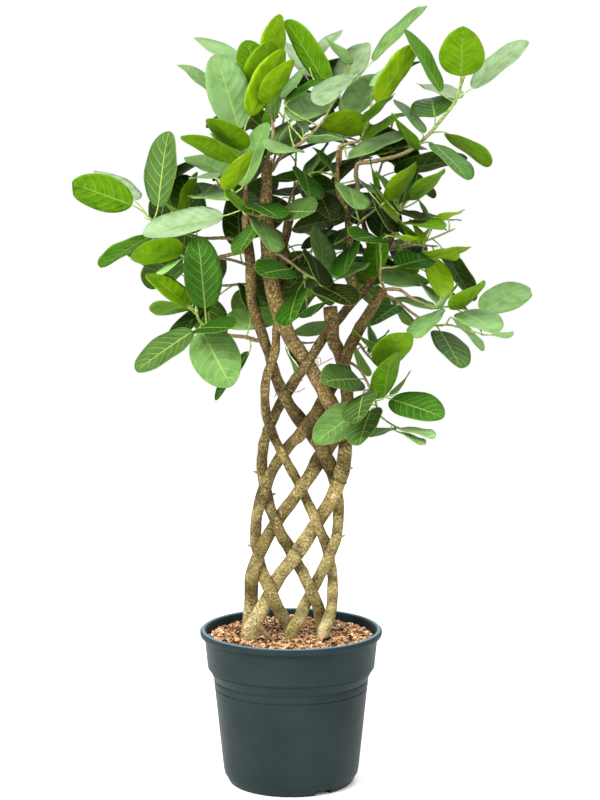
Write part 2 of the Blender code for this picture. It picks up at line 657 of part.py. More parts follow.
def weave_marks(last_row):
    """The rows at which a stem's offset in depth is given, up to the last one."""
    marks = [row + side for row in range(len(ROWS)) for side in (WEAVE_HOLD, 1 - WEAVE_HOLD)]
    return [mark for mark in marks if mark < last_row + 0.01]


def stem_centre(stem, row):
    """A stem's middle at a row of the lattice. Rows below 0 are in the soil."""
    angle = math.radians(stem * 360 / STEMS + ROW_TURN * max(row, 0))
    marks = weave_marks(len(ROWS))
    offsets = [weave_depth(stem, mark) for mark in marks]
    planted = FOOT_SPREAD * crossing_side(stem, 0)
    offset = float(np.interp(row, [0] + marks, [planted] + offsets))
    shift = FOOT_SHIFT[stem] * (1 - min(max(row / (1 - WEAVE_HOLD), 0), 1))
    place = row_place(max(row, 0))
    place.x += LATTICE_REACH * math.sin(angle) + shift
    place.y += offset - LATTICE_BULGE * math.cos(angle) ** 2
    if row < 0:
        place.z += row * STEM_BURIED
    return place


def stem_weave(stem, last_row, grow=0.0):
    """Sections of a stem from its buried end to a row: centre, axis, hint, half width, half depth."""
    rows = [-1.0, 0.0] + weave_marks(last_row)
    centres = [stem_centre(stem, row) for row in rows]
    if grow:
        centres[0].z -= grow
    front = Vector((0, -1, 0))
    top = STEM_TOPS[f"stem_{stem + 1}"][1][0][3]
    sections = []
    for row, centre, axis in zip(rows, centres, tangents(centres)):
        foot = 1 + (FOOT_STOUT - 1) * (1 - min(max(row, 0), 1))
        upright = axis if row > 0 else Vector((0, 0, 1))
        wide = STEM_WIDE * foot * STEM_STOUT[stem]
        wide += min(top - wide, 0) * min(max(row, 0) / last_row, 1)
        sections.append((centre, upright, front, wide + grow, STEM_DEEP * foot + grow))
    return sections


def branch_rings(route, sections=()):
    """Rings along a route of pixel x, pixel y, back and radius, after the sections before it."""
    front = Vector((0, -1, 0))
    sections = list(sections)
    places = [part[0] for part in sections[-1:]] + [at(*mark[:3]) for mark in route]
    known = len(places) - len(route)
    for place, axis, mark in zip(places[known:], tangents(places)[known:], route):
        sections.append((place, axis, front, mark[3], mark[3]))
    return [section(*part, STEM_SIDES) for part in sections]


def stem_shapes(number):
    """The rings of one woven stem, with its top, and of the branches that fork off it."""
    name = f"stem_{number + 1}"
    last_row, top = STEM_TOPS[name]
    shapes = [branch_rings(top, stem_weave(number, last_row))]
    return shapes + [branch_rings(route) for route in FORKS.get(name, ())]


def build_stem(number):
    """One woven stem with the branches that it becomes above the weave."""
    shapes = [loft(rings) for rings in stem_shapes(number)]
    stem, *forks = [mesh_object(f"stem_{number + 1}", *shape, "wood") for shape in shapes]
    if forks:
        apply_boolean(stem, "UNION", forks, "MANIFOLD")
    smooth(stem, 50)


# Leaves

class Crown:
    """What is placed so far, for the clear space between blades, stalks, twigs and stems."""

    def __init__(self):
        self.parts = []
        self.blades = []

    def add(self, node, kind, corners, faces):
        """Keep a shape: its node, its kind, its surface and its box."""
        low = Vector([min(corner[i] for corner in corners) for i in range(3)])
        high = Vector([max(corner[i] for corner in corners) for i in range(3)])
        tree = BVHTree.FromPolygons([tuple(corner) for corner in corners], faces)
        self.parts.append((node, kind, tree, low, high))
        if kind == "blade":
            self.blades.append((corners, faces))

    def clear(self, node, corners, faces, allowed):
        """Whether a shape crosses nothing, but for its own node's shapes of the allowed kinds."""
        low = Vector([min(corner[i] for corner in corners) for i in range(3)])
        high = Vector([max(corner[i] for corner in corners) for i in range(3)])
        tree = BVHTree.FromPolygons([tuple(corner) for corner in corners], faces)
        for owner, kind, other, least, most in self.parts:
            if owner == node and kind in allowed:
                continue
            if any(least[i] > high[i] or most[i] < low[i] for i in range(3)):
                continue
            if tree.overlap(other):
                return False
        return True

    def nearest_wood(self, place):
        """The nearest point of the stems and its outward direction."""
        found = [tree.find_nearest(place) for _, kind, tree, _, _ in self.parts if kind == "wood"]
        spot = min(found, key=lambda hit: hit[3])
        return spot[0], spot[1]

    def screen(self):
        """One surface of all blades placed so far."""
        points, faces = [], []
        for corners, triangles in self.blades:
            faces += [tuple(len(points) + index for index in face) for face in triangles]
            points += [tuple(corner) for corner in corners]
        return BVHTree.FromPolygons(points, faces)


def blade_rings(leaf, grow=0.0):
    """The rings of a leaf's blade and its tip. The leaf holds base, tip, normal, half width."""
    along = leaf["tip"] - leaf["base"]
    length = along.length
    axis = along / length
    normal = (leaf["normal"] - axis * leaf["normal"].dot(axis)).normalized()
    side = axis.cross(normal)
    thick = LEAF_THICK / 2 + grow
    rings = [section(leaf["base"], axis, normal, STALK_RADIUS + grow, STALK_RADIUS + grow, 4)]
    for share, width in BLADE_STATIONS:
        rise = 4 * share * (1 - share) * LEAF_ARCH * length
        middle = leaf["base"] + along * share + normal * rise
        reach = leaf["half"] * width + grow
        lift = normal * (LEAF_FOLD * reach)
        rings.append([
            middle + normal * thick, middle + side * reach + lift,
            middle - normal * thick, middle - side * reach + lift,
        ])
    return rings, leaf["tip"] + axis * grow


def stalk_rings(leaf, grow=0.0):
    """The two rings of a leaf's stalk, from inside the twig to the blade."""
    axis = leaf["base"] - leaf["start"]
    size = STALK_RADIUS + grow
    return [section(place, axis, leaf["normal"], size, size, 4) for place in (leaf["start"], leaf["base"])]


def leaf_fits(crown, node, leaf):
    """Whether a leaf keeps clear of everything placed so far."""
    room = GAP
    rings, tip = blade_rings(leaf, room)
    if not crown.clear(node, *loft(rings, tip), ()):
        return False
    return crown.clear(node, *loft(stalk_rings(leaf, room)), ("twig", "stalk"))


def keep_leaf(crown, node, leaf):
    """Give a leaf its place in the crown."""
    rings, tip = blade_rings(leaf)
    crown.add(node, "blade", *loft(rings, tip))
    crown.add(node, "stalk", *loft(stalk_rings(leaf)))


def leaf_object(leaf):
    """A leaf's solid: its stalk and blade in one skin."""
    rings, tip = blade_rings(leaf)
    return mesh_object("leaf", *loft([stalk_rings(leaf)[0]] + rings, tip), "leaf")


def nearest_on_twig(route, px, py):
    """The point of a twig's middle line that is seen nearest to a pixel."""
    marks = [mark_of(place) for place in route]
    best = None
    for step in range(1, len(route) - 1):
        one, two = Vector(marks[step][:2]), Vector(marks[step + 1][:2])
        run = two - one
        share = (Vector((px, py)) - one).dot(run) / max(run.length_squared, 1e-6)
        share = min(max(share, 0.1), 0.9)
        away = (one + run * share - Vector((px, py))).length
        if best is None or away < best[0]:
            best = (away, route[step].lerp(route[step + 1], share))
    return best[1]


def photo_leaf(route, row, shift, lean_more, roll_more, size=1.0):
    """A leaf from its row in the table. Its stalk's length, lean and roll follow from the photo.

    A blade that looks shorter than a leaf is leans towards or away from the front, and one that
    looks narrower is rolled about its midrib.
    """
    shown, base_x, base_y, tip_x, tip_y, width = row[:6]
    root = nearest_on_twig(route, *(row[6:8] if len(row) > 6 else (base_x, base_y)))
    scale = (root.y - VIEW_EYE.y) / VIEW_FOCAL
    looks_long = math.hypot(tip_x - base_x, tip_y - base_y) * scale * size
    looks_wide = width * scale * size
    length = max(looks_long, looks_wide / LEAF_ASPECT, LEAF_LENGTH if width > 12 else 0.8 * LEAF_LENGTH)
    lean = math.acos(min(looks_long / length, 1)) * (1 if (shown == "u") == (tip_y < base_y) else -1)
    lean = min(max(lean + lean_more, -1.2), 1.2)
    base_back = root.y + shift + math.sin(lean) * STALK_LENGTH
    base = at(base_x, base_y, base_back)
    tip = at(tip_x, tip_y, base_back + looks_long / size * math.tan(lean))
    tip = base + (tip - base) * size
    axis = (tip - base).normalized()
    view = (VIEW_EYE - base).normalized()
    facing = (view - axis * view.dot(axis)).normalized() * (1 if shown == "u" else -1)
    half = LEAF_ASPECT * length / 2
    roll = math.acos(min(looks_wide / (2 * half), 1))
    options = [Matrix.Rotation(sign * roll + roll_more, 3, axis) @ facing for sign in (1, -1)]
    normal = max(options, key=lambda way: way.z)
    return {"start": root, "base": base, "tip": tip, "normal": normal, "half": half}


def tries():
    """Small changes to a leaf, the smallest first: shift in depth, lean, roll, size."""
    changes = []
    for size in (1.0, 0.9, 0.8, 0.7, 0.6):
        for roll in (0, 10, -10, 24, -24):
            for lean in (0, 8, -8, 18, -18, 30, -30):
                for shift in (0, -8, 8, -16, 16, -26, 26, -38, 38, -52, 52, -68, 68, -84, 84):
                    cost = abs(roll) / 6 + abs(lean) / 10 + abs(shift) / 14 + (1 - size) * 60
                    changes.append((cost, shift / 1000, math.radians(lean), math.radians(roll), size))
    return sorted(changes)


def twig_route(crown, places):
    """The twig's route: it starts at the wood's surface, leaves it squarely and follows the rest."""
    spot, out = crown.nearest_wood(places[0])
    return [spot + out * (GAP + 0.0001), spot + out * 0.006] + list(places[1:])


def twig_shape(route, radius, grow=0.0):
    """Corners and triangles of a twig with a pointed bud at its end."""
    first, last = radius
    count = len(route)
    sizes = [0.4 * first] + [first + (last - first) * i / (count - 1) for i in range(1, count)]
    hint = Vector((0.31, -0.9, 0.23))
    rings = [section(place, axis, hint, size + grow, size + grow, TWIG_SIDES)
             for place, axis, size in zip(route, tangents(route), sizes)]
    if grow:
        rings = rings[1:]
    bud = route[-1] + (route[-1] - route[-2]).normalized() * BUD_LENGTH
    return loft(rings, bud)


def photo_leaves(crown, name, route, rows, changes):
    """The leaves of one shoot of the photographed side, each with the smallest change that fits."""
    leaves = []
    for row in rows:
        for _, shift, lean, roll, size in changes:
            leaf = photo_leaf(route, row, shift, lean, roll, size)
            if leaf_fits(crown, name, leaf):
                keep_leaf(crown, name, leaf)
                leaves.append(leaf)
                break
    return leaves


def screened(screen, leaf):
    """The share of a leaf's sample points that near leaves hide, or that lie in the crown's dark middle."""
    rings, tip = blade_rings(leaf)
    points = [corner for ring in rings[1:] for corner in (ring[0], ring[1], ring[3])] + [tip]
    hidden = 0
    left, top, right, bottom = DARK_MIDDLE
    for point in points:
        way = (VIEW_EYE - point).normalized()
        px, py, _ = mark_of(point)
        if left < px < right and top < py < bottom:
            hidden += 1
        elif screen.ray_cast(point + way * RAY_START, way)[0] is not None:
            hidden += 1
    return hidden / len(points)


def far_leaf(draw, spot, axis, angle):
    """A leaf of the far side, which leaves the twig at an angle round it."""
    up = Vector((0, 0, 1))
    side = axis.cross(up).normalized()
    out = Matrix.Rotation(angle, 3, axis) @ side
    stalk = (axis * 0.5 + out + up * 0.15).normalized()
    blade = (axis * 0.35 + out + up * draw.uniform(*FAR_DROOP)).normalized()
    length = draw.uniform(*FAR_LEAF_LENGTH)
    base = spot + stalk * draw.uniform(*FAR_STALK)
    normal = Matrix.Rotation(draw.uniform(-0.5, 0.5), 3, blade) @ (up + axis * 0.3)
    return {"start": spot, "base": base, "tip": base + blade * length, "normal": normal,
            "half": LEAF_ASPECT * length / 2}


def far_route(crown, name, row):
    """The route of a far twig, turned aside in small steps until it crosses nothing."""
    px, py, back, heading, rise, length, _ = row
    start = at(px, py, back)
    for attempt in range(FAR_TURNS):
        aside = FAR_TURN * ((attempt + 1) // 2) * (-1) ** attempt
        turn, climb = math.radians(heading + aside), math.radians(rise)
        level = Vector((math.sin(turn), math.cos(turn), 0))
        places = [start]
        for step in range(FAR_STEPS):
            slope = climb + FAR_BEND * (step / FAR_STEPS - 0.5)
            way = level * math.cos(slope) + Vector((0, 0, math.sin(slope)))
            places.append(places[-1] + way * (length / FAR_STEPS))
        route = twig_route(crown, places)
        if crown.clear(name, *twig_shape(route, FAR_RADIUS, GAP), ()):
            break
    return route


def far_leaves(crown, screen, draw, name, route, count):
    """The leaves of one shoot of the far side, at the golden angle."""
    leaves = []
    for number in range(count):
        share = 1.4 + (len(route) - 2.5) * number / (count - 1)
        step = int(share)
        spot = route[step].lerp(route[step + 1], share - step)
        axis = (route[step + 1] - route[step]).normalized()
        for attempt in range(FAR_TRIES):
            aside = 9 * ((attempt + 1) // 2) * (-1) ** attempt
            leaf = far_leaf(draw, spot, axis, math.radians(GOLDEN * number + aside))
            if screened(screen, leaf) >= SCREENED and leaf_fits(crown, name, leaf):
                keep_leaf(crown, name, leaf)
                leaves.append(leaf)
                break
    return leaves


def plan_crown():
    """Each shoot's twig and leaves: stems first, then all twigs, then the leaves, all kept clear."""
    crown = Crown()
    for number in range(STEMS):
        for rings in stem_shapes(number):
            crown.add(f"stem_{number + 1}", "wood", *loft(rings))
    plans = {}
    for name, shoot in SHOOTS.items():
        route = twig_route(crown, [at(*mark) for mark in shoot["twig"]])
        crown.add(name, "twig", *twig_shape(route, shoot["radius"]))
        plans[name] = {"route": route, "radius": shoot["radius"]}
    for name, row in FAR_SHOOTS.items():
        route = far_route(crown, name, row)
        crown.add(name, "twig", *twig_shape(route, FAR_RADIUS))
        plans[name] = {"route": route, "radius": FAR_RADIUS}
    changes = tries()
    for name, shoot in SHOOTS.items():
        plans[name]["leaves"] = photo_leaves(crown, name, plans[name]["route"], shoot["leaves"], changes)
    screen = crown.screen()
    draw = random.Random(SEED)
    for name, row in FAR_SHOOTS.items():
        plans[name]["leaves"] = far_leaves(crown, screen, draw, name, plans[name]["route"], row[-1])
    return plans


def build_shoot(name, plan):
    """One shoot: its twig and leaves in one body."""
    colour = "leaf" if name in SHOOTS else "far_leaf"
    twig = mesh_object(name, *twig_shape(plan["route"], plan["radius"]), colour)
    apply_boolean(twig, "UNION", [leaf_object(leaf) for leaf in plan["leaves"]], "MANIFOLD")
    smooth(twig, 60)


def main():
    """Build the whole plant."""
    clear_scene()
    build_pot()
    build_soil()
    for number in range(STEMS):
        build_stem(number)
    for name, plan in plan_crown().items():
        build_shoot(name, plan)


main()
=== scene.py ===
"""Potted bengal fig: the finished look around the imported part.

The file is laid out as an add-on, with one operator for each group of pieces and one for the
stage. Every stem, twig and leaf gets its place from the same named sizes and the same rule as
the part's own source, so the fine pieces stand where the plain solids are.
"""

import math
import random
from itertools import product

import bpy
import numpy as np
from mathutils import Matrix, Vector, noise
from mathutils.bvhtree import BVHTree


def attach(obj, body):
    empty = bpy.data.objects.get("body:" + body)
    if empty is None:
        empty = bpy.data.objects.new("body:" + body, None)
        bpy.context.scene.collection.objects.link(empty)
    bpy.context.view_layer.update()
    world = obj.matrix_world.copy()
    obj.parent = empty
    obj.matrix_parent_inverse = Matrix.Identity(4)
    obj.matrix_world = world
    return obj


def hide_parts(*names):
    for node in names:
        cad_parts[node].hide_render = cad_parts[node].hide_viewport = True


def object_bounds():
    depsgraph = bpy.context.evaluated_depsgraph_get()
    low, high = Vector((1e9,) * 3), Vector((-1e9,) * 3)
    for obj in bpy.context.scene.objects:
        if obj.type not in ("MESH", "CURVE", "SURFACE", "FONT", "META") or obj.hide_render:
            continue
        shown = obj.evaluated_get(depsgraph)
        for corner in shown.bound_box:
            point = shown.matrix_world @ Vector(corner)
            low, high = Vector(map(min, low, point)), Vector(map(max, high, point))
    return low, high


bl_info = {
    "name": "Potted bengal fig",
    "version": (1, 0, 0),
    "blender": (4, 5, 0),
    "location": "View3D > Sidebar > Fig",
    "description": "Builds the looks of a potted bengal fig around its packed part",
    "category": "Add Mesh",
}

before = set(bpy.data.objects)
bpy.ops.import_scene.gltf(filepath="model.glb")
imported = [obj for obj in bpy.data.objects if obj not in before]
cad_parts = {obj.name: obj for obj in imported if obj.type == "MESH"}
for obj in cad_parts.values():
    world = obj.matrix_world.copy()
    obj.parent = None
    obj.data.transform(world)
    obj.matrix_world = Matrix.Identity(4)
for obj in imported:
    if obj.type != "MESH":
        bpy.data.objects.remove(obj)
CAD_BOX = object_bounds()

# The photo's view, which turns a pixel and a depth into a place
VIEW_MIDDLE = (300, 400)
VIEW_FOCAL = 1966
VIEW_EYE = Vector((0.0166, -3.6, 1.15))
VIEW_PITCH = math.radians(6.83)
VIEW_FORWARD = Vector((0, math.cos(VIEW_PITCH), -math.sin(VIEW_PITCH)))
VIEW_UPWARD = Vector((0, math.sin(VIEW_PITCH), math.cos(VIEW_PITCH)))
FRONT = Vector((0, -1, 0))
UP = Vector((0, 0, 1))

# Pot: its foot, the notches in the foot and the drain holes in the floor
FOOT_RADIUS = 0.117
FLOOR_TOP = 0.013
NOTCH_WIDTH = 0.034
NOTCH_HEIGHT = 0.0097
NOTCH_DEEP = 0.026
NOTCH_ANGLES = (30, 150, 270)
DRAIN_RADIUS = 0.006
DRAIN_CIRCLE = 0.072
DRAIN_COUNT = 6
POT_STEPS = 120
# The pot's edges sharper than RIM_ANGLE degrees are rounded, and shading is smooth across
# edges under POT_SMOOTH
RIM_WIDTH = 0.0005
RIM_ANGLE = 24
POT_SMOOTH = 32
# The pot's section, radius and height: underside, foot, wall and collar with small moulded
# ledges that cast thin dark lines, lip, inside and floor
POT_SECTION = (
    (0, 0), (0.018, 0), (0.021, 0.010), (0.104, 0.010), (0.107, 0), (0.115, 0),
    (FOOT_RADIUS, 0.002), (0.1205, 0.009), (0.1255, 0.017), (0.1275, 0.028),
    (0.1430, 0.1770), (0.1434, 0.1800), (0.1423, 0.1803), (0.1424, 0.1811), (0.1438, 0.1822),
    (0.1447, 0.1947), (0.1437, 0.1950), (0.1438, 0.1958), (0.1450, 0.1975), (0.1476, 0.2040),
    (0.1504, 0.2100), (0.1518, 0.2136), (0.1500, 0.2144), (0.1500, 0.2166), (0.1552, 0.2170),
    (0.1561, 0.2184), (0.1563, 0.2200), (0.1620, 0.2765),
    (0.1685, 0.2772), (0.1700, 0.2800), (0.1700, 0.2865), (0.1660, 0.2900), (0.1618, 0.2893),
    (0.1592, 0.2860),
    (0.1592, 0.2770), (0.1527, 0.2180), (0.1490, 0.2070), (0.1422, 0.2005), (0.1247, 0.0300),
    (0.1205, 0.0185), (0.1120, FLOOR_TOP), (0, FLOOR_TOP),
)

# Clear space that touching pieces keep, and how near two corners count as one
GAP = 0.0004
WELD = 0.00001

# Woven stems: six stems in a flat lattice, two at each of three feet. A stem swings across the
# lattice as the sine of its angle, which grows by ROW_TURN from one row of crossings to the next.
STEMS = 6
ROW_TURN = 30
ROWS = (632, 590, 555, 523, 487, 452, 427, 396, 362, 330, 297)
LATTICE_LEAN = (
    (620, 291), (560, 292.5), (520, 297.5), (480, 301), (440, 305), (400, 306), (300, 308),
)
LATTICE_REACH = 0.0765
LATTICE_BULGE = 0.012
# A stem's offset in depth at a crossing, and beside the lattice's edge, reached this far in rows
# before and after it
WEAVE = 0.0090
WEAVE_EDGE = 0.0152
WEAVE_HOLD = 0.3
STEM_WIDE = 0.0115
STEM_STOUT = (0.95, 0.92, 0.98, 0.95, 1.04, 1.14)
STEM_DEEP = 0.0078
STEM_SIDES = 6
STEM_BURIED = 0.055
FOOT_SPREAD = 0.0135
FOOT_SHIFT = (0.000, -0.006, -0.006, 0.000, -0.011, -0.011)
FOOT_STOUT = 1.15

# Above the weave each stem follows its own route: pixel x, pixel y, back, radius.
# The first number is the row at which it leaves the weave.
STEM_TOPS = {
    "stem_1": (8.3, (
        (259, 325, 0.000, 0.0098), (252, 300, -0.004, 0.0098), (250, 262, -0.008, 0.0096),
        (247, 230, -0.010, 0.0088), (246, 205, -0.012, 0.0060), (246, 190, -0.014, 0.0045))),
    "stem_2": (8.3, (
        (277, 325, 0.012, 0.0080), (279, 298, 0.020, 0.0080), (283, 262, 0.028, 0.0075),
        (286, 230, 0.034, 0.0060), (288, 206, 0.036, 0.0046))),
    "stem_3": (8.7, (
        (329, 332, 0.008, 0.0088), (343, 314, 0.013, 0.0085), (353, 302, 0.014, 0.0082),
        (367, 287, 0.018, 0.0075), (382, 258, 0.026, 0.0062), (393, 235, 0.032, 0.0050))),
    "stem_4": (7.7, (
        (351, 345, -0.012, 0.0105), (362, 325, -0.014, 0.0105), (372, 308, -0.015, 0.0098),
        (383, 291, -0.016, 0.0085))),
    "stem_5": (8.7, ((332, 325, -0.020, 0.0128), (330, 307, -0.022, 0.0125))),
    "stem_6": (8.3, (
        (289, 336, -0.014, 0.0140), (280, 314, -0.019, 0.0150), (272, 285, -0.020, 0.0145),
        (268, 250, -0.020, 0.0135), (266, 205, -0.018, 0.0115), (267, 160, -0.016, 0.0090))),
}

# Branches that fork off a stem above the weave: pixel x, pixel y, back, radius
FORKS = {
    "stem_1": ((
        (252, 298, -0.004, 0.0075), (253, 282, 0.040, 0.0070), (251, 258, 0.085, 0.0060),
        (249, 238, 0.115, 0.0048)),),
    "stem_2": ((
        (281, 282, 0.024, 0.0068), (279, 266, 0.065, 0.0064), (285, 244, 0.105, 0.0056),
        (291, 222, 0.132, 0.0046)),),
    "stem_3": (
        ((354, 301, 0.014, 0.0080), (353, 285, 0.012, 0.0078), (351, 262, 0.014, 0.0072),
         (349, 232, 0.018, 0.0062), (345, 205, 0.020, 0.0052), (338, 190, 0.020, 0.0048),
         (338, 150, 0.018, 0.0042)),
        ((370, 281, 0.020, 0.0062), (372, 262, 0.060, 0.0058), (368, 240, 0.095, 0.0052),
         (362, 218, 0.125, 0.0044))),
    "stem_6": ((
        (268, 252, -0.020, 0.0085), (263, 232, 0.030, 0.0075), (262, 205, 0.075, 0.0060),
        (268, 180, 0.105, 0.0046)),),
}

# Leaves: outline as share of the length, and of the half width there
BLADE_STATIONS = ((0.11, 0.64), (0.45, 1.00), (0.84, 0.72))
LEAF_LENGTH = 0.128
LEAF_ASPECT = 0.56
LEAF_THICK = 0.0018
LEAF_ARCH = 0.01
LEAF_FOLD = 0.15
STALK_RADIUS = 0.0013
STALK_LENGTH = 0.030
TWIG_SIDES = 4
BUD_LENGTH = 0.012
TWIG_START = GAP + 0.0001
TWIG_SQUARE = 0.006
TWIG_NECK = 0.4
TWIG_HINT = Vector((0.31, -0.9, 0.23))
# A stalk starts between these shares of a twig's stretch
STALK_ROOM = (0.1, 0.9)
# A leaf this many pixels wide or less may be a young one, by this share of a full one
NARROW_LEAF = 12
YOUNG_LEAF = 0.8
MOST_LEAN = 1.2

# What is tried until a leaf is clear: size, roll and lean in degrees, shift in millimetres
TRY_SIZES = (1.0, 0.9, 0.8, 0.7, 0.6)
TRY_ROLLS = (0, 10, -10, 24, -24)
TRY_LEANS = (0, 8, -8, 18, -18, 30, -30)
TRY_SHIFTS = (0, -8, 8, -16, 16, -26, 26, -38, 38, -52, 52, -68, 68, -84, 84)
# A change costs its degrees or millimetres over these, and a smaller size costs most
ROLL_EASE, LEAN_EASE, SHIFT_EASE = 6, 10, 14
SIZE_COST = 60

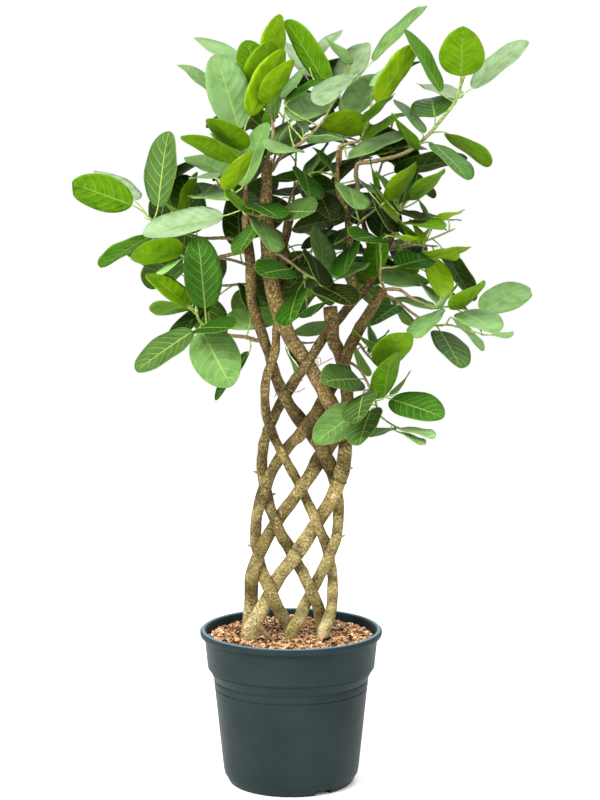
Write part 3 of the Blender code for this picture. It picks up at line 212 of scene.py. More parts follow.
# Shoots of the photographed side. `twig` is pixel x, pixel y, back; `radius` its two ends.
# A leaf is the side that shows (u upper, l lower), base x, y, tip x, y, width in pixels,
# and, where its stalk doesn't start at the nearest point of the twig, the stalk's start x, y.
SHOOTS = {
    "left_top": {
        "twig": ((246, 187, -0.014), (244, 150, -0.016), (241, 135, -0.006), (239, 112, 0.009)),
        "radius": (0.0034, 0.0018), "leaves": (
            ("u", 239, 129, 216, 54, 42), ("u", 230, 106, 180, 63, 14, 240, 120),
            ("l", 250, 115, 284, 50, 26, 243, 140), ("l", 240, 150, 213, 118, 25),
            ("l", 231, 163, 184, 135, 18), ("u", 228, 175, 189, 156, 20),
            ("u", 238, 157, 219, 136, 18))},
    "top_left": {
        "twig": ((268, 157, -0.016), (273, 135, 0.013), (272, 120, 0.033), (268, 103, 0.058),
                 (262, 86, 0.078), (255, 74, 0.088)),
        "radius": (0.0036, 0.0016), "leaves": (
            ("l", 256, 100, 270, 41, 34, 266, 98), ("l", 258, 92, 248, 40, 34),
            ("u", 243, 68, 197, 37, 15), ("l", 273, 76, 277, 14, 25),
            ("l", 268, 103, 288, 60, 22), ("u", 275, 120, 277, 90, 20))},
    "top_centre": {
        "twig": ((270, 171, -0.020), (280, 158, -0.025), (293, 148, -0.020), (305, 140, -0.015),
                 (318, 127, -0.005), (325, 118, 0.000), (333, 103, 0.010), (340, 93, 0.015),
                 (347, 80, 0.020), (350, 63, 0.022)),
        "radius": (0.0034, 0.0018), "leaves": (
            ("l", 328, 88, 286, 20, 24, 334, 101), ("u", 312, 62, 340, 30, 12, 333, 103),
            ("u", 285, 98, 310, 62, 10, 318, 127), ("u", 305, 75, 290, 42, 22, 333, 103),
            ("l", 345, 63, 330, 39, 12, 347, 78), ("u", 345, 88, 362, 42, 30),
            ("u", 343, 75, 322, 104, 26), ("u", 349, 118, 374, 72, 30, 340, 93),
            ("u", 373, 61, 427, 5, 12, 347, 83), ("u", 292, 120, 328, 95, 30, 293, 148),
            ("u", 288, 102, 322, 78, 8, 305, 140), ("u", 302, 130, 284, 95, 10, 305, 140),
            ("l", 310, 143, 344, 138, 9), ("u", 293, 148, 272, 150, 16),
            ("u", 272, 145, 290, 118, 14), ("u", 290, 147, 295, 121, 22),
            ("l", 325, 118, 366, 132, 28), ("u", 316, 136, 357, 132, 16))},
    "left_fore": {
        "twig": ((262, 218, -0.036), (250, 213, -0.048), (243, 208, -0.058), (237, 200, -0.070),
                 (234, 192, -0.078)),
        "radius": (0.0032, 0.0018), "leaves": (
            ("u", 223, 216, 143, 234, 25, 243, 210), ("l", 234, 188, 243, 154, 24),
            ("u", 243, 186, 266, 122, 28), ("u", 259, 221, 272, 249, 22),
            ("u", 258, 222, 238, 254, 16), ("u", 243, 212, 226, 188, 18),
            ("u", 252, 211, 240, 185, 22), ("u", 256, 204, 279, 218, 20),
            ("u", 281, 212, 313, 212, 24, 258, 217), ("u", 215, 178, 195, 177, 8),
            ("u", 226, 200, 192, 194, 13))},
    "far_left": {
        "twig": ((244, 240, 0.000), (225, 238, 0.000), (196, 237, -0.005), (159, 222, -0.015),
                 (150, 219, -0.018)),
        "radius": (0.0040, 0.0020), "leaves": (
            ("l", 132, 205, 71, 183, 36), ("u", 134, 200, 99, 171, 18),
            ("u", 158, 207, 168, 131, 31), ("l", 178, 218, 170, 205, 12),
            ("l", 183, 213, 196, 172, 12, 196, 237))},
    "left_mid": {
        "twig": ((243, 252, -0.012), (220, 257, -0.030), (200, 262, -0.045), (186, 258, -0.055),
                 (168, 246, -0.060)),
        "radius": (0.0040, 0.0020), "leaves": (
            ("l", 151, 235, 101, 266, 16), ("l", 180, 255, 133, 252, 27, 190, 260),
            ("l", 187, 262, 170, 282, 18, 200, 262), ("u", 184, 258, 163, 273, 5))},
    "left_low": {
        "twig": ((258, 340, 0.000), (245, 337, -0.020), (228, 335, -0.040), (208, 328, -0.060),
                 (199, 320, -0.068), (197, 312, -0.072)),
        "radius": (0.0042, 0.0022), "leaves": (
            ("u", 205, 308, 198, 236, 40, 206, 327), ("u", 188, 307, 150, 273, 22, 197, 316),
            ("l", 185, 305, 157, 315, 20), ("u", 193, 331, 136, 371, 26, 210, 330),
            ("u", 202, 331, 231, 386, 48, 214, 331), ("u", 200, 328, 231, 328, 18),
            ("u", 249, 352, 215, 400, 12, 250, 338), ("u", 228, 328, 282, 311, 27),
            ("u", 250, 312, 244, 285, 18, 245, 337))},
    "centre_front": {
        "twig": ((278, 254, -0.030), (290, 262, -0.044), (303, 272, -0.059), (315, 279, -0.069),
                 (323, 283, -0.074)),
        "radius": (0.0032, 0.0018), "leaves": (
            ("u", 290, 269, 261, 274, 24), ("u", 323, 271, 319, 228, 24),
            ("u", 338, 279, 363, 262, 18), ("u", 321, 286, 352, 303, 24),
            ("l", 322, 288, 303, 298, 10), ("u", 297, 293, 289, 323, 24),
            ("l", 311, 316, 325, 300, 14, 303, 272))},
    "weave_top": {
        "twig": ((300, 338, 0.030), (309, 343, 0.052), (322, 341, 0.058)),
        "radius": (0.0024, 0.0014), "leaves": (
            ("u", 326, 333, 294, 329, 19), ("u", 291, 345, 304, 371, 15, 309, 343),
            ("l", 287, 352, 297, 378, 5, 304, 340))},
    "centre_dark": {
        "twig": ((289, 202, 0.036), (295, 186, 0.036), (305, 177, 0.036), (316, 172, 0.036),
                 (330, 174, 0.036)),
        "radius": (0.0030, 0.0016), "leaves": (
            ("u", 304, 173, 310, 196, 24), ("u", 317, 190, 331, 219, 28),
            ("l", 297, 180, 272, 178, 14), ("u", 293, 196, 270, 190, 14),
            ("u", 313, 170, 322, 148, 14), ("u", 322, 170, 337, 150, 14),
            ("u", 336, 176, 313, 147, 7))},
    "centre_low": {
        "twig": ((291, 262, 0.028), (300, 256, 0.008), (312, 251, -0.012)),
        "radius": (0.0028, 0.0016), "leaves": (
            ("u", 312, 256, 320, 284, 20), ("u", 300, 258, 290, 286, 16),
            ("u", 313, 247, 326, 228, 16))},
    "centre_right": {
        "twig": ((352, 233, 0.020), (360, 222, 0.008), (372, 212, -0.002), (380, 206, -0.007)),
        "radius": (0.0030, 0.0016), "leaves": (
            ("u", 350, 188, 355, 207, 30, 360, 222), ("u", 352, 214, 378, 196, 14),
            ("u", 380, 208, 388, 228, 14), ("u", 334, 244, 347, 225, 16, 354, 230),
            ("u", 351, 246, 344, 273, 22))},
    "right_top": {
        "twig": ((350, 201, 0.020), (358, 188, 0.012), (356, 176, 0.007), (358, 164, 0.004),
                 (370, 162, 0.002), (385, 159, 0.000), (400, 155, -0.003), (412, 149, -0.006),
                 (422, 141, -0.008), (432, 131, -0.010), (441, 120, -0.013), (450, 109, -0.016),
                 (455, 101, -0.018), (460, 88, -0.018), (463, 79, -0.018)),
        "radius": (0.0046, 0.0024), "leaves": (
            ("l", 461, 76, 463, 26, 45, 459, 90), ("u", 472, 88, 528, 41, 20, 458, 99),
            ("u", 441, 92, 405, 29, 14, 455, 102), ("u", 456, 99, 423, 83, 14, 450, 109),
            ("u", 435, 117, 431, 97, 45, 436, 129), ("u", 422, 133, 396, 100, 11, 422, 140),
            ("l", 410, 146, 398, 119, 14, 414, 149), ("l", 449, 134, 487, 165, 17, 430, 134),
            ("u", 434, 144, 468, 178, 17, 419, 145), ("u", 361, 158, 390, 151, 7),
            ("u", 338, 182, 357, 158, 12, 357, 180))},
    "right_upper": {
        "twig": ((339, 146, 0.018), (350, 143, 0.010), (360, 140, 0.003), (367, 122, -0.007),
                 (371, 109, -0.012)),
        "radius": (0.0032, 0.0018), "leaves": (
            ("l", 377, 103, 417, 44, 22, 369, 118), ("u", 375, 85, 395, 60, 8),
            ("l", 368, 121, 391, 95, 10), ("u", 366, 140, 405, 111, 9),
            ("u", 350, 158, 409, 132, 14, 345, 144))},
    "right_mid": {
        "twig": ((394, 231, 0.034), (397, 220, 0.030), (400, 208, 0.025)),
        "radius": (0.0032, 0.0018), "leaves": (
            ("u", 394, 221, 371, 183, 8), ("u", 368, 190, 361, 180, 8, 396, 222),
            ("l", 374, 183, 372, 165, 8, 398, 214), ("u", 393, 200, 380, 173, 12),
            ("l", 398, 198, 407, 166, 24), ("u", 401, 210, 412, 171, 20, 397, 222),
            ("l", 419, 199, 437, 171, 20, 400, 210), ("l", 417, 197, 426, 218, 5, 400, 209),
            ("u", 401, 211, 419, 219, 10))},
    "right_mid_low": {
        "twig": ((398, 236, 0.033), (408, 243, 0.020), (420, 245, 0.010), (433, 246, 0.000)),
        "radius": (0.0032, 0.0018), "leaves": (
            ("l", 437, 223, 458, 211, 10, 424, 245), ("u", 405, 222, 442, 228, 10, 410, 243),
            ("l", 410, 240, 403, 221, 8), ("l", 420, 240, 413, 222, 9),
            ("l", 424, 240, 430, 226, 9), ("l", 400, 248, 409, 270, 13, 408, 243),
            ("l", 424, 253, 456, 259, 12), ("l", 442, 258, 466, 247, 11, 432, 246))},
    "right_centre": {
        "twig": ((384, 287, -0.017), (380, 278, -0.025), (381, 262, -0.033), (380, 248, -0.037)),
        "radius": (0.0032, 0.0018), "leaves": (
            ("u", 378, 275, 376, 237, 24), ("u", 377, 237, 355, 239, 20),
            ("u", 385, 283, 427, 277, 22), ("u", 373, 285, 350, 275, 18),
            ("u", 398, 266, 432, 258, 22, 381, 268), ("l", 392, 236, 409, 241, 13, 380, 248))},
    "right_low": {
        "twig": ((386, 290, -0.016), (400, 290, -0.023), (410, 297, -0.027), (420, 302, -0.030),
                 (433, 308, -0.033), (443, 307, -0.035), (458, 306, -0.037)),
        "radius": (0.0036, 0.0020), "leaves": (
            ("u", 440, 297, 432, 251, 27), ("u", 437, 304, 424, 284, 12, 428, 306),
            ("l", 443, 305, 453, 289, 7), ("l", 463, 308, 474, 284, 25, 452, 307),
            ("u", 482, 312, 530, 286, 31, 458, 306), ("u", 462, 312, 497, 331, 24, 450, 307),
            ("u", 431, 309, 394, 297, 10, 424, 304))},
    "right_low_side": {
        "twig": ((387, 296, -0.011), (397, 301, 0.000), (415, 315, 0.010), (434, 325, 0.017),
                 (450, 325, 0.023), (470, 331, 0.027)),
        "radius": (0.0034, 0.0018), "leaves": (
            ("l", 453, 318, 482, 350, 8, 446, 325), ("l", 488, 335, 507, 337, 6),
            ("u", 440, 331, 461, 368, 27, 434, 325), ("u", 434, 312, 420, 336, 24),
            ("l", 397, 304, 402, 322, 8), ("l", 404, 309, 411, 327, 8),
            ("l", 397, 305, 369, 325, 20))},
    "low_right": {
        "twig": ((357, 343, -0.010), (365, 352, -0.017), (375, 363, -0.024), (383, 372, -0.030)),
        "radius": (0.0028, 0.0016), "leaves": (
            ("l", 385, 368, 402, 331, 34), ("l", 372, 350, 362, 336, 14),
            ("l", 358, 350, 360, 369, 16), ("l", 370, 344, 372, 326, 10),
            ("l", 375, 350, 384, 334, 10))},
    "low_right_long": {
        "twig": ((353, 364, -0.009), (360, 370, -0.019), (367, 382, -0.026), (372, 393, -0.032),
                 (376, 403, -0.036), (378, 413, -0.039), (385, 420, -0.042), (396, 427, -0.044)),
        "radius": (0.0030, 0.0016), "leaves": (
            ("l", 384, 397, 391, 355, 26), ("u", 398, 392, 406, 376, 8, 374, 398),
            ("u", 391, 399, 443, 417, 30, 374, 395), ("u", 365, 407, 315, 442, 35, 376, 405),
            ("u", 363, 394, 358, 422, 30), ("u", 371, 410, 359, 444, 28, 377, 410),
            ("u", 359, 379, 324, 381, 29, 366, 379), ("u", 400, 428, 432, 437, 8),
            ("u", 396, 431, 420, 443, 5), ("l", 390, 428, 371, 437, 12))},
}

# Shoots of the far side: start pixel x, y, back, heading in degrees (0 away from the front, 90 to
# the right), rise in degrees, length, number of leaves.
FAR_SHOOTS = {
    "far_shoot_01": (249, 237, 0.116, -45, 55, 0.20, 6),
    "far_shoot_02": (251, 262, 0.080, -75, 15, 0.19, 5),
    "far_shoot_03": (253, 282, 0.042, -50, 0, 0.16, 5),
    "far_shoot_04": (292, 221, 0.133, 5, 60, 0.20, 7),
    "far_shoot_05": (284, 248, 0.100, 0, 10, 0.20, 7),
    "far_shoot_06": (361, 217, 0.126, 35, 60, 0.20, 6),
    "far_shoot_07": (370, 252, 0.080, 70, 15, 0.17, 5),
    "far_shoot_08": (372, 264, 0.058, 45, 0, 0.16, 5),
    "far_shoot_09": (268, 179, 0.106, 15, 50, 0.20, 6),
    "far_shoot_10": (338, 162, 0.020, 10, 40, 0.20, 7),
    "far_shoot_11": (352, 270, 0.022, -10, 5, 0.22, 8),
}
# A far leaf's length, stalk, droop and roll, and a far twig's radii, steps and bend
FAR_LEAF_LENGTH = (0.118, 0.142)
FAR_STALK = (0.028, 0.042)
FAR_DROOP = (-0.9, 0.1)
FAR_ROLL = (-0.5, 0.5)
FAR_RADIUS = (0.0032, 0.0016)
FAR_STEPS = 5
FAR_BEND = 0.35
# How many times a twig or leaf that isn't clear is turned aside, and by how many degrees
FAR_TURNS = 16
FAR_TURN = 8
FAR_TRIES = 60
FAR_ASIDE = 9
GOLDEN = 137.5
# The leaves stand between these points of a far twig, the second counted from its end
FAR_FIRST, FAR_LAST = 1.4, 1.1
# The share of a far leaf that near leaves hide, or that is seen in the crown's dark middle
SCREENED = 0.6
RAY_START = 0.002
DARK_MIDDLE = (262, 146, 404, 272)

# Tone of each photographed leaf's shown side, with the light on it painted in, in the order of
# its shoot's table: bright, pale, whitish, medium, dark, very dark, olive, yellow-green,
# grey-green, new green, silvery, deep green
LEAF_LIT_TONES = {
    "left_top": "PGYBBGB", "top_left": "BOPYYN", "top_centre": "OWPWSWWSGSDSSPGSYN",
    "left_fore": "WYGGDOKKMWS", "far_left": "OWMBY", "left_mid": "NBNS", "left_low": "DBOMGKKSK",
    "centre_front": "KGSVOKK", "weave_top": "SKO", "centre_dark": "KVKVGBK", "centre_low": "VVV",
    "centre_right": "GVVKK", "right_top": "BWNWDGOBDYV", "right_upper": "YSOOS",
    "right_mid": "YWOSYKBSV", "right_mid_low": "YOBYBYYY", "right_centre": "NKSBKY",
    "right_low": "YSSBPPS", "right_low_side": "PSMPOKK", "low_right": "BOOSK",
    "low_right_long": "ONDGMMMSSK",
}
# Each tone's colour and how plainly its veins show. A tone is partly the leaf's own green and
# partly painted light: painted shade in the very dark one, a painted glow of light through the
# blade in the bright one and a painted sheen in the pale and grey-green ones
LIT_TONES = {
    "B": ("#77a704", 0.40), "P": ("#84ac70", 0.60), "W": ("#96b08e", 0.75), "M": ("#486a34", 0.90),
    "D": ("#3c7420", 0.78), "V": ("#041402", 0.30), "O": ("#5a8b04", 0.55), "Y": ("#9fca0e", 0.45),
    "G": ("#6e9656", 0.80), "N": ("#4e8c03", 0.70), "S": ("#aad48c", 0.60), "K": ("#1b5a04", 0.68),
}
BACK_OF_SHOWN_UPPER = "#688734"
BACK_OF_SHOWN_LOWER = "#2c5804"
# The far side's leaves: dark green, painted darker still as the shade in the crown's middle
FAR_UPPER_SHADED = "#143603"
FAR_LOWER_SHADED = "#31500c"
FAR_VEINS = 0.45

# Fine leaves
BLADE_COLUMNS = 22
BLADE_ROWS = 8
# The outline's broadest place and how blunt its ends are
OUTLINE_SKEW = (0.86, 0.98)
OUTLINE_BLUNT = (0.46, 0.56)
OUTLINE_LEAST = 0.03
# The round leaf at the top right is broadest near its foot and runs to a point
HEART_LEAF = ("right_top", 0)
HEART_OUTLINE = (0.62, 0.72)
# Pairs of side veins, and how they sweep forward, curl and stand off across the midrib
VEIN_PAIRS = (5.6, 8.2)
VEIN_SWEEP = 0.17
VEIN_CURL = 0.09
VEIN_STAGGER = 0.30
# The fold along the midrib is rounded over this reach, and the rib stands out over its own
FOLD_ROUND = 0.003
RIB_REACH = 0.10
# Drawn for each leaf: waves along its edge, the tip's droop as a share of the length, shade
WAVES = (1.2, 2.2)
TIP_DROOP = (-0.035, 0.0)
LEAF_SHADES = (0.88, 1.10)
# A stalk's thickness on its way to the blade, where it goes on as the midrib
STALK_TAPER = ((0, 1.35), (0.25, 1.15), (0.5, 1.05), (0.75, 1.0), (1, 0.95))
STALK_INSIDE = 0.006

# Twigs
TWIG_STEP = 0.003
# Leaf scars: a thicker ring every 14 mm
SCAR_SPACING = 0.014
SCAR_START = 0.004
SCAR_SWELL = 0.22
SCAR_REACH = 0.0014
# The bud's rings: how far along it, and how thick against the twig's end
BUD_RINGS = ((0.15, 1.25), (0.35, 1.35), (0.65, 0.9), (0.9, 0.4), (1.0, 0.12))
TWIG_GREEN = "#809b4a"
TWIG_BROWN = "#8e7a53"
STALK_GREEN = "#9ab358"
BUD_GREEN = "#a8c06c"

# Stems
RING_STEP = 0.005
RING_SIDES = 22
GRAFTS = (
    (300, 418, 0.34), (323, 462, 0.34), (322, 404, 0.22), (316, 436, 0.20), (262, 494, 0.16),
    (285, 390, 0.16), (292, 545, 0.14), (318, 548, 0.14), (257, 585, 0.12), (334, 470, 0.18),
)
GRAFT_REACH = 0.021
# A stem is at least this deep against its width
LEAST_DEEP = 0.8
# The bark's shading is smooth across edges under this angle
BARK_SMOOTH = 50
# The bark's relief: how often it repeats in a metre, and its knots, one for so many rings
LUMP_SCALE = 38
WRINKLE_SCALES = (60, 60, 200)
FINE_SCALE = 120
FINE_SHARE = 0.6
KNOT_SPACING = 40
KNOT_HEIGHT = (0.0015, 0.0030)
KNOT_REACH = 0.0065
# Each stem's share of the palest bark; it is less where stems have grown together, a painted
# shade of the crossing
STEM_SHADES = (0.45, 1.0)
SHADE_AT_GRAFT = 2.0

# Thin dark wires round the stems, stubs of cut twigs and thin roots, by their photo pixels
WIRES = ((297, 553), (336, 479), (286, 390))
# A wire's radius, its steps and rise in a turn, and how far it stands off, at least and more
WIRE_RADIUS = 0.0005
WIRE_SIDES = 16
WIRE_PITCH = 0.0022
WIRE_OFF = 0.0011
WIRE_LOOSE = 0.0005
# How much a stem further back counts as further away
BEHIND = 0.15
STUB_RADII = (0.0030, 0.0024, 0.0014)
STUBS = (
    (258, 474, -1, 0.007), (271, 494, 1, 0.006), (254, 547, -1, 0.006), (333, 537, 1, 0.006),
    (341, 470, 1, 0.006), (268, 340, -1, 0.006),
)
ROOTS = (
    ((311, 371), (318, 366), (325, 362), (333, 358)),
    ((316, 368), (318, 362), (314, 360), (320, 358), (321, 364)),
    ((288, 389), (294, 392), (300, 391), (305, 388)),
    ((305, 553), (308, 560), (307, 567), (309, 572)),
    ((275, 397), (277, 392), (279, 396)),
)
ROOT_RADIUS = 0.0008
ROOT_BACK = -0.034
ROOT_SWAY = 0.003
FOOT_ROOT = (((257, 624), 0.0075), ((262, 629), 0.0060), ((267, 635), 0.0042), ((272, 639), 0.0024))
FOOT_ROOT_BACK = -0.052
WIRE_DARK = "#2a221b"
ROOT_TAN = "#8b7750"

# Soil and the rest
# Chips: how many, how many large ones, where they may lie, and the ranges they are drawn from
CHIPS = 4200
BIG_CHIPS = 260
SOIL_REACH = 0.1535
WALL_REACH = 0.1570
SOIL_LOWEST = 0.25
ABOVE_SOIL = 0.4
BIG_LENGTH = (0.012, 0.022)
CHIP_LENGTH = (0.004, 0.012)
# Width as a share of the length
CHIP_WIDTH = (0.22, 0.5)
CHIP_THICK = (0.0012, 0.0030)
CHIP_LEANS = ((0.30, "Y"), (0.4, "X"))
CHIP_LIFT = (0.0002, 0.0030)
CHIP_TAPER = (-0.35, 0.25)
CHIP_BROWNS = (
    "#e8b98a", "#d4a06e", "#b38257", "#8a6240", "#573a26", "#281911", "#f8d0a0", "#fbe9c8",
)
CHIP_WEIGHTS = (18, 20, 15, 12, 12, 12, 10, 5)
CHIP_SHADES = (0.75, 1.15)
SEED = 41
# Room that a blade keeps inside the CAD box
EDGE_SPARE = 0.0003

# Soft lights: name, place and size. All of them look at one place in the plant.
LIGHTS = (("key", (-1.8, -2.4, 2.9), 1.7), ("fill", (1.5, -2.9, 2.3), 1.8),
          ("back", (0.9, 2.3, 3.2), 1.8))
LIT_PLACE = Vector((0, 0, 0.8))


# Places, by the same rule as the part's source

def at(px, py, back):
    """The place seen at a pixel of the photo, `back` metres behind the pot's middle."""
    right = (px - VIEW_MIDDLE[0]) / VIEW_FOCAL
    up = (VIEW_MIDDLE[1] - py) / VIEW_FOCAL
    ray = VIEW_FORWARD + Vector((right, 0, 0)) + VIEW_UPWARD * up
    return VIEW_EYE + ray * ((back - VIEW_EYE.y) / ray.y)


def mark_of(place):
    """The pixel at which a place is seen: the other way round."""
    away = place - VIEW_EYE
    scale = VIEW_FOCAL / away.dot(VIEW_FORWARD)
    return VIEW_MIDDLE[0] + away.x * scale, VIEW_MIDDLE[1] - away.dot(VIEW_UPWARD) * scale


def section(centre, axis, hint, wide, deep, sides):
    """One section's corners, from the hint's side round the axis."""
    axis = axis.normalized()
    depth = (hint - axis * hint.dot(axis)).normalized()
    width = axis.cross(depth)
    angles = [2 * math.pi * side / sides for side in range(sides)]
    return [centre + depth * (deep * math.cos(a)) + width * (wide * math.sin(a)) for a in angles]


def loft(rings, tip=None):
    """Corners and triangles of a skin over rings, closed at the start and at the end or tip.

    Every square is split from the first ring's odd corner to the next ring's even corner,
    so that a thin blade's two faces fold along the same lines.
    """
    sides = len(rings[0])
    corners = [corner for ring in rings for corner in ring]
    faces = [(0, side + 1, side) for side in range(1, sides - 1)]
    for row in range(len(rings) - 1):
        for side in range(sides):
            here, there = row * sides, (row + 1) * sides
            after = (side + 1) % sides
            low, next_low, high, next_high = here + side, here + after, there + side, there + after
            if side % 2:
                faces += [(low, next_low, next_high), (low, next_high, high)]
            else:
                faces += [(low, next_low, high), (next_low, next_high, high)]
    end = (len(rings) - 1) * sides
    if tip is None:
        faces += [(end, end + side, end + side + 1) for side in range(1, sides - 1)]
    else:
        corners.append(tip)
        faces += [(end + side, end + (side + 1) % sides, len(corners) - 1) for side in range(sides)]
    return corners, faces


def tangents(points):
    """The direction of a route at each of its points."""
    ends = [points[0]] + list(points) + [points[-1]]
    return [(ends[i + 2] - ends[i]).normalized() for i in range(len(points))]


def row_place(row):
    """The middle of the lattice at a row, and its height."""
    py = float(np.interp(row, range(len(ROWS)), ROWS))
    lean = sorted(LATTICE_LEAN)
    px = float(np.interp(py, [mark[0] for mark in lean], [mark[1] for mark in lean]))
    return at(px, py, 0)


def crossing_side(stem, row):
    """Whether a stem passes a crossing on the front (-1) or behind (1). It is 0 at the edge."""
    across = round(math.cos(math.radians(stem * 360 / STEMS + ROW_TURN * row)), 3)
    if across == 0:
        return 0
    return (1 if row % 2 else -1) * (1 if across > 0 else -1)


def weave_depth(stem, mark):
    """A stem's offset in depth at a mark, which lies WEAVE_HOLD before or after a crossing."""
    row = round(mark)
    side = crossing_side(stem, row)
    beyond = crossing_side(stem, row + (1 if mark > row else -1))
    if side == 0:
        return WEAVE_EDGE * beyond
    return side * (WEAVE_EDGE if beyond == 0 else WEAVE)


def weave_marks(last_row):
    """The rows at which a stem's offset in depth is given, up to the last one."""
    marks = [row + side for row in range(len(ROWS)) for side in (WEAVE_HOLD, 1 - WEAVE_HOLD)]
    return [mark for mark in marks if mark < last_row + 0.01]


def stem_centre(stem, row):
    """A stem's middle at a row of the lattice. Rows below 0 are in the soil."""
    angle = math.radians(stem * 360 / STEMS + ROW_TURN * max(row, 0))
    marks = weave_marks(len(ROWS))
    offsets = [weave_depth(stem, mark) for mark in marks]
    planted = FOOT_SPREAD * crossing_side(stem, 0)
    offset = float(np.interp(row, [0] + marks, [planted] + offsets))
    shift = FOOT_SHIFT[stem] * (1 - min(max(row / (1 - WEAVE_HOLD), 0), 1))
    place = row_place(max(row, 0))
    place.x += LATTICE_REACH * math.sin(angle) + shift
    place.y += offset - LATTICE_BULGE * math.cos(angle) ** 2
    if row < 0:
        place.z += row * STEM_BURIED
    return place


def stem_weave(stem, last_row):
    """Sections of a stem up to a row: centre, axis, hint, half width and half depth."""
    rows = [-1.0, 0.0] + weave_marks(last_row)
    centres = [stem_centre(stem, row) for row in rows]
    top = STEM_TOPS[f"stem_{stem + 1}"][1][0][3]
    sections = []
    for row, centre, axis in zip(rows, centres, tangents(centres)):
        foot = 1 + (FOOT_STOUT - 1) * (1 - min(max(row, 0), 1))
        upright = axis if row > 0 else UP
        wide = STEM_WIDE * foot * STEM_STOUT[stem]
        wide += min(top - wide, 0) * min(max(row, 0) / last_row, 1)
        sections.append((centre, upright, FRONT, wide, STEM_DEEP * foot))
    return sections


def branch_rings(route, sections=()):
    """Rings along a route of pixel x, pixel y, back and radius, after the sections before it."""
    sections = list(sections)
    places = [part[0] for part in sections[-1:]] + [at(*mark[:3]) for mark in route]
    known = len(places) - len(route)
    for place, axis, mark in zip(places[known:], tangents(places)[known:], route):
        sections.append((place, axis, FRONT, mark[3], mark[3]))
    return [section(*part, STEM_SIDES) for part in sections]


def stem_shapes(number):
    """The rings of one woven stem, with its top, and of the branches that fork off it."""
    name = f"stem_{number + 1}"
    last_row, top = STEM_TOPS[name]
    shapes = [branch_rings(top, stem_weave(number, last_row))]
    return shapes + [branch_rings(route) for route in FORKS.get(name, ())]


def boxed(corners, faces):
    """A shape's surface, with the lowest and highest corner of its box."""
    low = Vector([min(corner[i] for corner in corners) for i in range(3)])
    high = Vector([max(corner[i] for corner in corners) for i in range(3)])
    return BVHTree.FromPolygons([tuple(corner) for corner in corners], faces), low, high


class Crown:
    """What is placed so far, for the clear space between blades, stalks, twigs and stems."""

    def __init__(self):
        self.parts = []
        self.blades = []

    def add(self, node, kind, corners, faces):
        """Keep a shape: its node, its kind, its surface and its box."""
        self.parts.append((node, kind, *boxed(corners, faces)))
        if kind == "blade":
            self.blades.append((corners, faces))

    def clear(self, node, corners, faces, allowed):
        """Whether a shape crosses nothing, but for its own node's shapes of the allowed kinds."""
        tree, low, high = boxed(corners, faces)
        for owner, kind, other, least, most in self.parts:
            if owner == node and kind in allowed:
                continue
            if any(least[i] > high[i] or most[i] < low[i] for i in range(3)):
                continue
            if tree.overlap(other):
                return False
        return True

    def nearest_wood(self, place):
        """The nearest point of the stems and its outward direction."""
        found = [part[2].find_nearest(place) for part in self.parts if part[1] == "wood"]
        spot = min(found, key=lambda hit: hit[3])
        return spot[0], spot[1]

    def screen(self):
        """One surface of all blades placed so far."""
        points, faces = [], []
        for corners, triangles in self.blades:
            faces += [tuple(len(points) + index for index in face) for face in triangles]
            points += [tuple(corner) for corner in corners]
        return BVHTree.FromPolygons(points, faces)


def blade_rings(leaf, grow=0.0):
    """The rings of a leaf's blade and its tip. The leaf holds base, tip, normal, half width."""
    along = leaf["tip"] - leaf["base"]
    length = along.length
    axis = along / length
    normal = (leaf["normal"] - axis * leaf["normal"].dot(axis)).normalized()
    side = axis.cross(normal)
    thick = LEAF_THICK / 2 + grow
    rings = [section(leaf["base"], axis, normal, STALK_RADIUS + grow, STALK_RADIUS + grow, 4)]
    for share, width in BLADE_STATIONS:
        rise = 4 * share * (1 - share) * LEAF_ARCH * length
        middle = leaf["base"] + along * share + normal * rise
        reach = leaf["half"] * width + grow
        lift = normal * (LEAF_FOLD * reach)
        rings.append([
            middle + normal * thick, middle + side * reach + lift,
            middle - normal * thick, middle - side * reach + lift,
        ])
    return rings, leaf["tip"] + axis * grow


def stalk_rings(leaf, grow=0.0):
    """The two rings of a leaf's stalk, from inside the twig to the blade."""
    axis, normal = leaf["base"] - leaf["start"], leaf["normal"]
    size = STALK_RADIUS + grow
    return [section(leaf[end], axis, normal, size, size, 4) for end in ("start", "base")]


def leaf_fits(crown, node, leaf):
    """Whether a leaf keeps clear of everything placed so far."""
    if not crown.clear(node, *loft(*blade_rings(leaf, GAP)), ()):
        return False
    return crown.clear(node, *loft(stalk_rings(leaf, GAP)), ("twig", "stalk"))


def keep_leaf(crown, node, leaf):
    """Give a leaf its place in the crown."""
    crown.add(node, "blade", *loft(*blade_rings(leaf)))
    crown.add(node, "stalk", *loft(stalk_rings(leaf)))


def nearest_on_twig(route, px, py):
    """The point of a twig's middle line that is seen nearest to a pixel."""
    seen = Vector((px, py))
    marks = [Vector(mark_of(place)) for place in route]
    best = None
    for step in range(1, len(route) - 1):
        one, run = marks[step], marks[step + 1] - marks[step]
        share = (seen - one).dot(run) / max(run.length_squared, 1e-6)
        share = min(max(share, STALK_ROOM[0]), STALK_ROOM[1])
        away = (one + run * share - seen).length
        if best is None or away < best[0]:
            best = (away, route[step].lerp(route[step + 1], share))
    return best[1]


